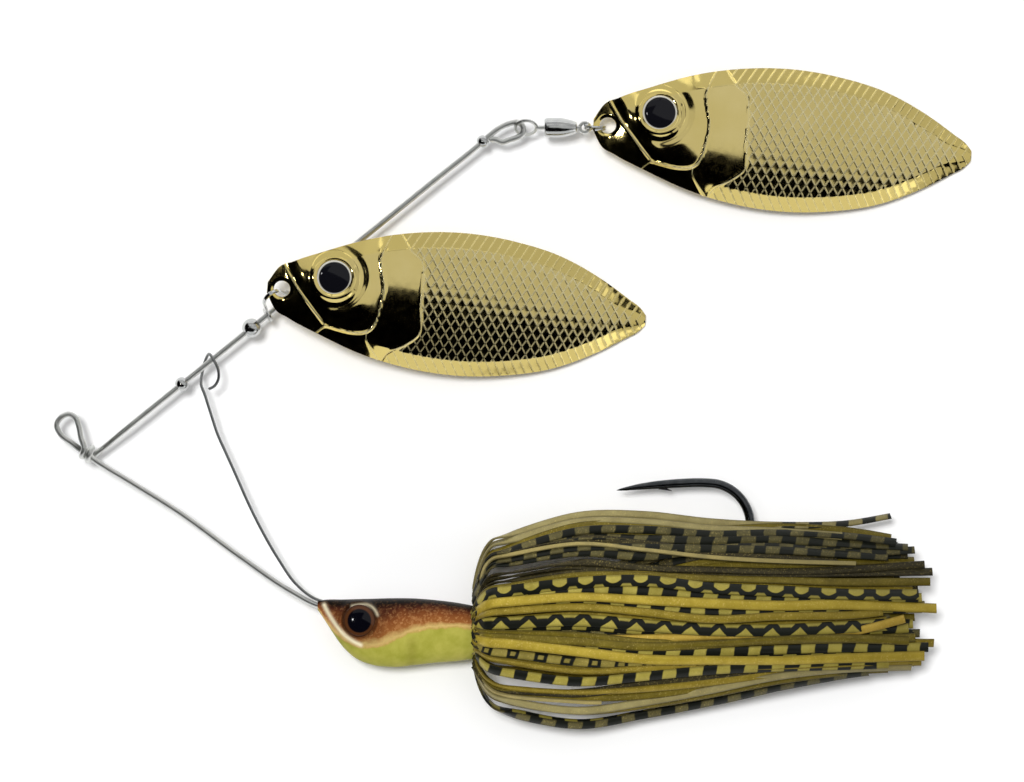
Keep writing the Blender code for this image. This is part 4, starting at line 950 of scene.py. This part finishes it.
def build_skirt(looks):
    rng = random.Random(7)
    strands = []
    for pattern, layer, end_x, places in TOP_STRANDS:
        strands.append((pattern, layer, end_x, places, 1, 1.6 if pattern == "glitter" else 0.0))
        other = rng.choice(("plain", "bars", "gold", "dusk", "olive", "bars"))
        under = (other, rng.uniform(0, 1.2), end_x - rng.uniform(0.5, 4.0), places, -1, 0.0)
        if not (-11 < places[1] < -7 or 6.5 < places[1] < 10.5):
            if pattern != "stray":
                strands.append(under)
            beside = tuple(p + shift for p, shift in zip(places, (0.2, 0.4, 0.7, 0.8, 0.7, 0.8, 0.7, 0.6)))
            kind = rng.choice(("olive", "dusk", "amber", "bars", "dark", "dusk"))
            if -6 < places[1] < 13:
                strands.append((kind, layer + 1.7, end_x - rng.uniform(-1.0, 3.0), beside, 1, 0.0))
    for number, (end_x, places) in enumerate(FILL_STRANDS):
        for kinds, layer, steps, shorter, scale, shift in FILL_LAYERS:
            within = tuple(scale * p + shift for p in places)
            kind = kinds[number % len(kinds)]
            strands.append((kind, layer + number % steps, end_x - shorter, within, 1, 0.0))
    groups = {}
    for pattern, layer, end_x, places, side, lift in strands:
        route = strand_route(places, end_x, layer, side, lift)
        at = route[len(route) // 3]
        angle = math.degrees(math.atan2(at[2] - PLANE_Z, at[1] - SHANK_Y)) % 360
        tab = f"skirt_tab_{int(angle // TAB_ANGLE) + 1}"
        waves = [(rng.uniform(0.1, 0.3), rng.uniform(0.05, 0.16), rng.uniform(0, 6.3)) for _ in range(2)]

        on_edge = 1.1 if pattern == "dark" and layer < 4 else 0.0

        def twist(x, waves=waves, on_edge=on_edge):
            wavy = sum(size * np.sin(x * rate + start) for size, rate, start in waves)
            return wavy + on_edge * smoothstep(13.0, 5.0, x)

        width = STRAND_WIDTHS.get(pattern, STRAND_W) * rng.uniform(0.88, 1.0)
        groups.setdefault(tab, []).append((pattern, strand_mesh(route, twist, width), rng.random()))
    for tab, members in groups.items():
        vertices, faces, data = [], [], {"along": [], "across": [], "seed": []}
        slots = []
        used = sorted({pattern for pattern, _, _ in members})
        for pattern, (points, quads, along, across), seed in members:
            first = len(vertices)
            vertices += points.tolist()
            faces += [[first + i for i in quad] for quad in quads]
            slots += [used.index(pattern)] * len(quads)
            data["along"] += along.tolist()
            data["across"] += across.tolist()
            data["seed"] += [seed] * len(points)
        obj = make_object(f"{tab}_strands", vertices, faces, looks[used[0]], data)
        for pattern in used[1:]:
            obj.data.materials.append(looks[pattern])
        obj.data.polygons.foreach_set("material_index", slots)
        sharpen(obj, 55)
        place(obj, "wire_frame", [tab])


# ---- wires and fittings ---------------------------------------------------------------------------
def in_plane(x, y, rise=0.0):
    return Vector((x, y, PLANE_Z + rise))


def wire_points(*places):
    """Points in the wires' plane, or over it where a place has a third number."""
    return [in_plane(*spot) for spot in places]


def arm_point(along, side=0.0, rise=0.0):
    return ARM_ORIGIN + along * ARM + side * ARM_SIDE + rise * UP


def main_wire_path():
    """From the hooked end in the head, by the line tie eye, to the loop that holds the swivel."""
    bend = HOOK_EYE - Vector((1.3, 0, 0))
    path = [bend + Vector((-2.2, 0.3, -1.2)), bend + Vector((-1.0, 0.1, -1.2))]
    path += arc_points(bend, 1.2, -90, 90, 8, Vector((1, 0, 0)), UP)
    path += wire_points((-20.2, -34.4, 1.1), (-23.5, -33.5, 0.5), (-26.8, -32.5, 0.05),
                        (-29.64, -31.84), (-33.44, -29.87), (-41.5, -24.4), (-50.46, -17.86),
                        (-58.0, -13.15), (-63.2, -9.96), (-66.6, -7.45), (-68.7, -5.75), (-69.2, -4.5),
                        (-68.6, -3.4), (-67.3, -2.85), (-66.35, -3.35), (-65.85, -4.6, 0.15),
                        (-65.5, -6.2, 0.6))
    along = Vector((0.83, -0.557, 0)).normalized()
    across = Vector((0.557, 0.83, 0)).normalized()
    for i in range(WRAP_STEPS + 1):
        turn = WRAP_TURNS * i / WRAP_STEPS
        a = math.radians(90) + 2 * math.pi * turn
        path.append(in_plane(*WRAP_START) + WRAP_PITCH * turn * along + math.cos(a) * across
                    + math.sin(a) * UP)
    path += wire_points((-62.1, -7.95, -0.9), (-60.4, -6.55, -0.5))
    path += [arm_point(reach) for reach in (-23.5, -21.0, -16.0, -8.0, 0.0, 12.0, 24.0, 36.0, 45.5)]
    along = Vector((math.cos(LOOP_ANGLE), math.sin(LOOP_ANGLE), 0))
    across = Vector((-math.sin(LOOP_ANGLE), math.cos(LOOP_ANGLE), 0))
    path += [arm_point(46.9, 0.08), LOOP_CENTRE + LOOP_R * across - 1.6 * along]
    path += arc_points(LOOP_CENTRE, LOOP_R, 90, -90, 12, along, across)
    low = LOOP_CENTRE - LOOP_R * across
    return path + [low - 1.5 * along, low - 2.5 * along, in_plane(-2.55, 38.9), arm_point(46.3, -0.5)]


def brace_wire_path():
    """From the nose in a bow to the upper arm, with a small eye wrapped round the arm."""
    return wire_points((-25.6, -31.9, 0.7), (-27.6, -31.5, 0.45), (-29.6, -31.0, 0.35),
                       (-32.8, -28.65, 0.15), (-35.4, -25.0), (-37.8, -20.9), (-40.0, -16.5),
                       (-41.95, -12.1), (-43.6, -8.44), (-44.75, -5.85), (-45.7, -2.96), (-46.75, 0.3),
                       (-47.25, 1.6, -0.45), (-47.1, 3.5, -0.85), (-46.6, 5.4, -0.75), (-46.05, 6.3),
                       (-45.3, 5.4, 0.8), (-44.6, 3.9, 0.8), (-44.65, 2.3, 0.5), (-45.3, 1.35, 0.35),
                       (-46.0, 1.0, 0.4))


def hook_path():
    """From the eye in the lead, along the shank and round the bend to the point."""
    x_axis, y_axis = Vector((1, 0, 0)), Vector((0, 1, 0))
    path = arc_points(HOOK_EYE, 1.3, -75, -345, 16, x_axis, y_axis)
    path += [HOOK_EYE + Vector((1.62, -0.16, 0)), HOOK_EYE + Vector((2.2, -0.36, 0))]
    path += [in_plane(x, SHANK_Y) for x in (-12.6, -8.0, -2.0, 4.0, 10.0, 16.0)]
    path += arc_points(in_plane(21.0, SHANK_Y + 15.2), 15.2, -90, 0, 12, x_axis, y_axis)
    path += arc_points(in_plane(29.8, POINT_Y - 6.4), 6.4, 0, 90, 8, x_axis, y_axis)
    return path + wire_points((25.0, POINT_Y - 0.08), (21.5, POINT_Y - 0.35), (19.2, POINT_Y - 0.6),
                              (17.4, POINT_Y - 0.87), (15.9, POINT_Y - 1.1))


def build_wires(wire, thin_wire, dark):
    points, faces = tube_shape(fine_path(main_wire_path()), MAIN_WIRE_R, 24)
    # painted shade round the wrap below the line tie
    painted_wrap_shade = ridge(np.linalg.norm(points - np.array(in_plane(*WRAP_PAINTED_SHADE)), axis=1), 0.95)
    obj = make_object("main_wire_drawn", points, faces, wire, {"painted_wrap_shade": painted_wrap_shade})
    place(obj, "wire_frame", ["main_wire"])
    obj = make_object("brace_wire_drawn", *tube_shape(fine_path(brace_wire_path()), BRACE_WIRE_R, 16),
                      thin_wire)
    place(obj, "wire_frame", ["brace_wire"])
    path = fine_path(hook_path())
    from_tip = np.concatenate([[0], np.cumsum(np.linalg.norm(np.diff(path[::-1], axis=0), axis=1))])[::-1]
    radii = np.interp(from_tip, (0, 0.5, 1.6, 3.6, 6.0, 9.5), (0.03, 0.16, 0.30, 0.48, 0.62, 0.70))
    radii = np.where(path[:, 0] < HOOK_EYE.x + 1.7, 0.8 * HOOK_R, radii)
    barb = fine_path(wire_points((21.6, POINT_Y - 0.45), (22.9, POINT_Y - 0.78),
                                 (24.3, POINT_Y - 1.2)), 0.15)
    barb_r = np.interp(barb[:, 0], (21.6, 22.4, 24.3), (0.12, 0.34, 0.03))
    shape = joined(tube_shape(path, radii, 24), tube_shape(barb, barb_r, 16))
    obj = make_object("hook_forged", *shape, dark)
    place(obj, "wire_frame", ["hook"])


def build_beads(bright):
    """Drilled balls with a small flat and a chamfer where the wire goes in."""
    for name, body, along, radius in BEADS:
        mouth = math.asin(0.66 / radius)
        angles = np.linspace(mouth, math.pi - mouth, 33)
        profile = [(-radius * math.cos(a), radius * math.sin(a)) for a in angles]
        reach = radius * math.cos(mouth)
        profile += [(reach - 0.05, BEAD_BORE_R), (-reach + 0.05, BEAD_BORE_R)]
        obj = make_object(f"{name}_drilled", *turned_shape(profile, arm_point(along), ARM), bright)
        sharpen(obj)
        place(obj, body, [name])


def build_swivel(bright):
    """The barrel, rolled in at the front and drawn down to a neck at the rear, and its cap."""
    for name, node, outline, segments in (("swivel_barrel_drawn", "swivel_body", BARREL_OUTLINE, 72),
                                          ("swivel_cap_pressed", "swivel_cap", CAP_OUTLINE, 48)):
        shape = turned_shape(outline, (0.0, CHAIN_Y, PLANE_Z), (1, 0, 0), segments)
        obj = make_object(name, *shape, bright)
        sharpen(obj)
        place(obj, "swivel_barrel", [node])


def build_collar(rubber):
    """A rolled rubber band: two soft ribs with a groove between them."""
    shape = turned_shape(COLLAR_OUTLINE, (0.0, SHANK_Y, PLANE_Z), (1, 0, 0), 64)
    obj = make_object("skirt_collar_rolled", *shape, rubber)
    place(obj, "wire_frame", ["skirt_collar"])


# ---- studio ---------------------------------------------------------------------------------------
def add_lamp(light, centre, aim, glossy):
    obj = bpy.data.objects.new(light.name, light)
    obj.location = centre
    obj.rotation_mode = "QUATERNION"
    obj.rotation_quaternion = aim
    obj.visible_glossy = glossy
    bpy.context.scene.collection.objects.link(obj)


def softbox(name, centre, target, width, height, radiance, glossy=True, spin=0.0):
    light = bpy.data.lights.new(name, "AREA")
    light.shape = "RECTANGLE"
    light.size, light.size_y = width, height
    light.energy = radiance * math.pi * width * height
    aim = (Vector(target) - Vector(centre)).to_track_quat("-Z", "Y")
    add_lamp(light, centre, aim @ Quaternion((0.0, 0.0, 1.0), math.radians(spin)), glossy)


def sun(name, direction, strength, degrees):
    """A broad sun, which the metal does not mirror."""
    light = bpy.data.lights.new(name, "SUN")
    light.energy, light.angle = strength, math.radians(degrees)
    add_lamp(light, (0.0, 0.0, 0.0), Vector(direction).to_track_quat("-Z", "Y"), False)


def build_studio():
    scene = bpy.context.scene
    scene.view_settings.view_transform = "Standard"
    world = bpy.data.worlds.new("studio")
    world.use_nodes = True
    world.node_tree.nodes["Background"].inputs["Color"].default_value = (0.75, 0.75, 0.75, 1.0)
    world.cycles_visibility.diffuse = False
    world.cycles_visibility.glossy = False
    scene.world = world

    floor_look = Look("floor_look", Roughness=0.9, Specular_IOR_Level=0.1)
    shade = floor_look.ramp(floor_look.noise(3.0), (0.3, (0.92, 0.92, 0.92)), (0.7, (0.94, 0.94, 0.94)))
    floor_look.set(floor_look.shader, {"Base_Color": shade})
    reach = 4000.0
    corners = ((-reach, -reach, 0), (reach, -reach, 0), (reach, reach, 0), (-reach, reach, 0))
    floor = make_object("floor", corners, ((0, 1, 2, 3),), floor_look.mat)

    # bright above and towards +X and +Y, with a strip on the -Y side; the gaps between are mirrored black
    softbox("overhead", (0.60, 0.165, 1.0), (0.60, 0.165, 0.0), 1.30, 0.80, 0.60, spin=-25.0)
    softbox("north_west", (-0.24, 0.52, 1.0), (-0.24, 0.52, 0.0), 0.56, 0.46, 0.55)
    softbox("slope", (0.25, 1.22, 0.85), (0.25, 0.0, 0.0), 2.6, 1.25, 0.55)
    softbox("east", (1.85, 0.25, 0.8), (0.0, 0.1, 0.0), 1.8, 1.3, 0.50)
    softbox("back_wall", (0.2, 1.9, 0.35), (0.2, 0.0, 0.3), 3.6, 0.7, 0.80)
    softbox("front_strip", (0.35, -1.5, 0.65), (0.35, 0.0, 0.65), 4.0, 1.28, 0.80)
    softbox("corner", (1.25, -0.95, 0.85), (0.0, 0.0, 0.0), 0.9, 0.9, 0.55)
    sun("key", (0.16, -0.19, -1.1), 2.2, 13.0)
    softbox("fill", (0.1, 0.0, 1.6), (0.0, 0.0, 0.0), 1.8, 1.8, 0.36, glossy=False)
    softbox("sparkle", (-0.50, 0.06, 1.1), (0.0, 0.0, 0.0), 0.055, 0.055, 55.0)

    camera = bpy.data.objects.new("camera", bpy.data.cameras.new("camera"))
    camera.data.sensor_width = SENSOR_WIDTH
    camera.data.lens = SENSOR_WIDTH * CAMERA_DISTANCE / CAMERA_VIEW_WIDTH
    camera.data.clip_start, camera.data.clip_end = 0.01, 20.0
    camera.location = (0.0, CAMERA_Y, PLANE_Z * MM + CAMERA_DISTANCE)
    scene.collection.objects.link(camera)
    scene.camera = camera


# ---- all of it ------------------------------------------------------------------------------------
def dress_cad(bright, wire):
    """Materials for the CAD nodes that are shown as they are."""
    looks = {"clevis": bright, "split_ring": bright, "swivel_eye": wire, "swivel_rear_eye": wire}
    looks.update({f"bearing_ball_{i}": wire for i in range(1, 7)})
    for node, mat in looks.items():
        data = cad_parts[node].data
        data.materials.clear()
        data.materials.append(mat)


def main():
    gold = gold_plate()
    black = (0.004, 0.004, 0.006)
    black_eye = eye_look("blade_eye_look", black, black, (0.62, 0.60, 0.52))
    brown_eye = eye_look("head_eye_look", (0.002, 0.002, 0.004), (0.085, 0.030, 0.010),
                         (0.055, 0.020, 0.008))
    build_blade("front_blade", FRONT_BLADE, "front_spinner", gold)
    build_blade("rear_blade", REAR_BLADE, "rear_spinner", gold)
    build_blade_eye("front_blade_eye", FRONT_BLADE, "front_spinner", black_eye)
    build_blade_eye("rear_blade_eye", REAR_BLADE, "rear_spinner", black_eye)
    build_head(head_paint())
    build_head_eyes(brown_eye)
    build_skirt(strand_looks())
    bright = steel_wire("nickel_look", (0.52, 0.53, 0.53), (0.62, 0.63, 0.61), 0.12, 0.18)
    wire = steel_wire("wire_look", (0.61, 0.62, 0.60), (0.72, 0.73, 0.70), 0.30, 0.38)
    thin_wire = steel_wire("thin_wire_look", (0.26, 0.27, 0.27), (0.34, 0.35, 0.35), 0.30, 0.40)
    dark = steel_wire("black_nickel_look", (0.05, 0.055, 0.06), (0.10, 0.105, 0.11), 0.18, 0.28)
    rubber = Look("collar_look", Roughness=0.6)
    rubber.set(rubber.shader, {"Base_Color": rubber.ramp(rubber.noise(900.0), (0.3, 0.03), (0.7, 0.06))})
    rubber.bump(rubber.noise(2500.0), 0.2, 0.00005)
    build_wires(wire, thin_wire, dark)
    build_beads(bright)
    build_swivel(bright)
    build_collar(rubber.mat)
    dress_cad(bright, wire)
    build_studio()


main()
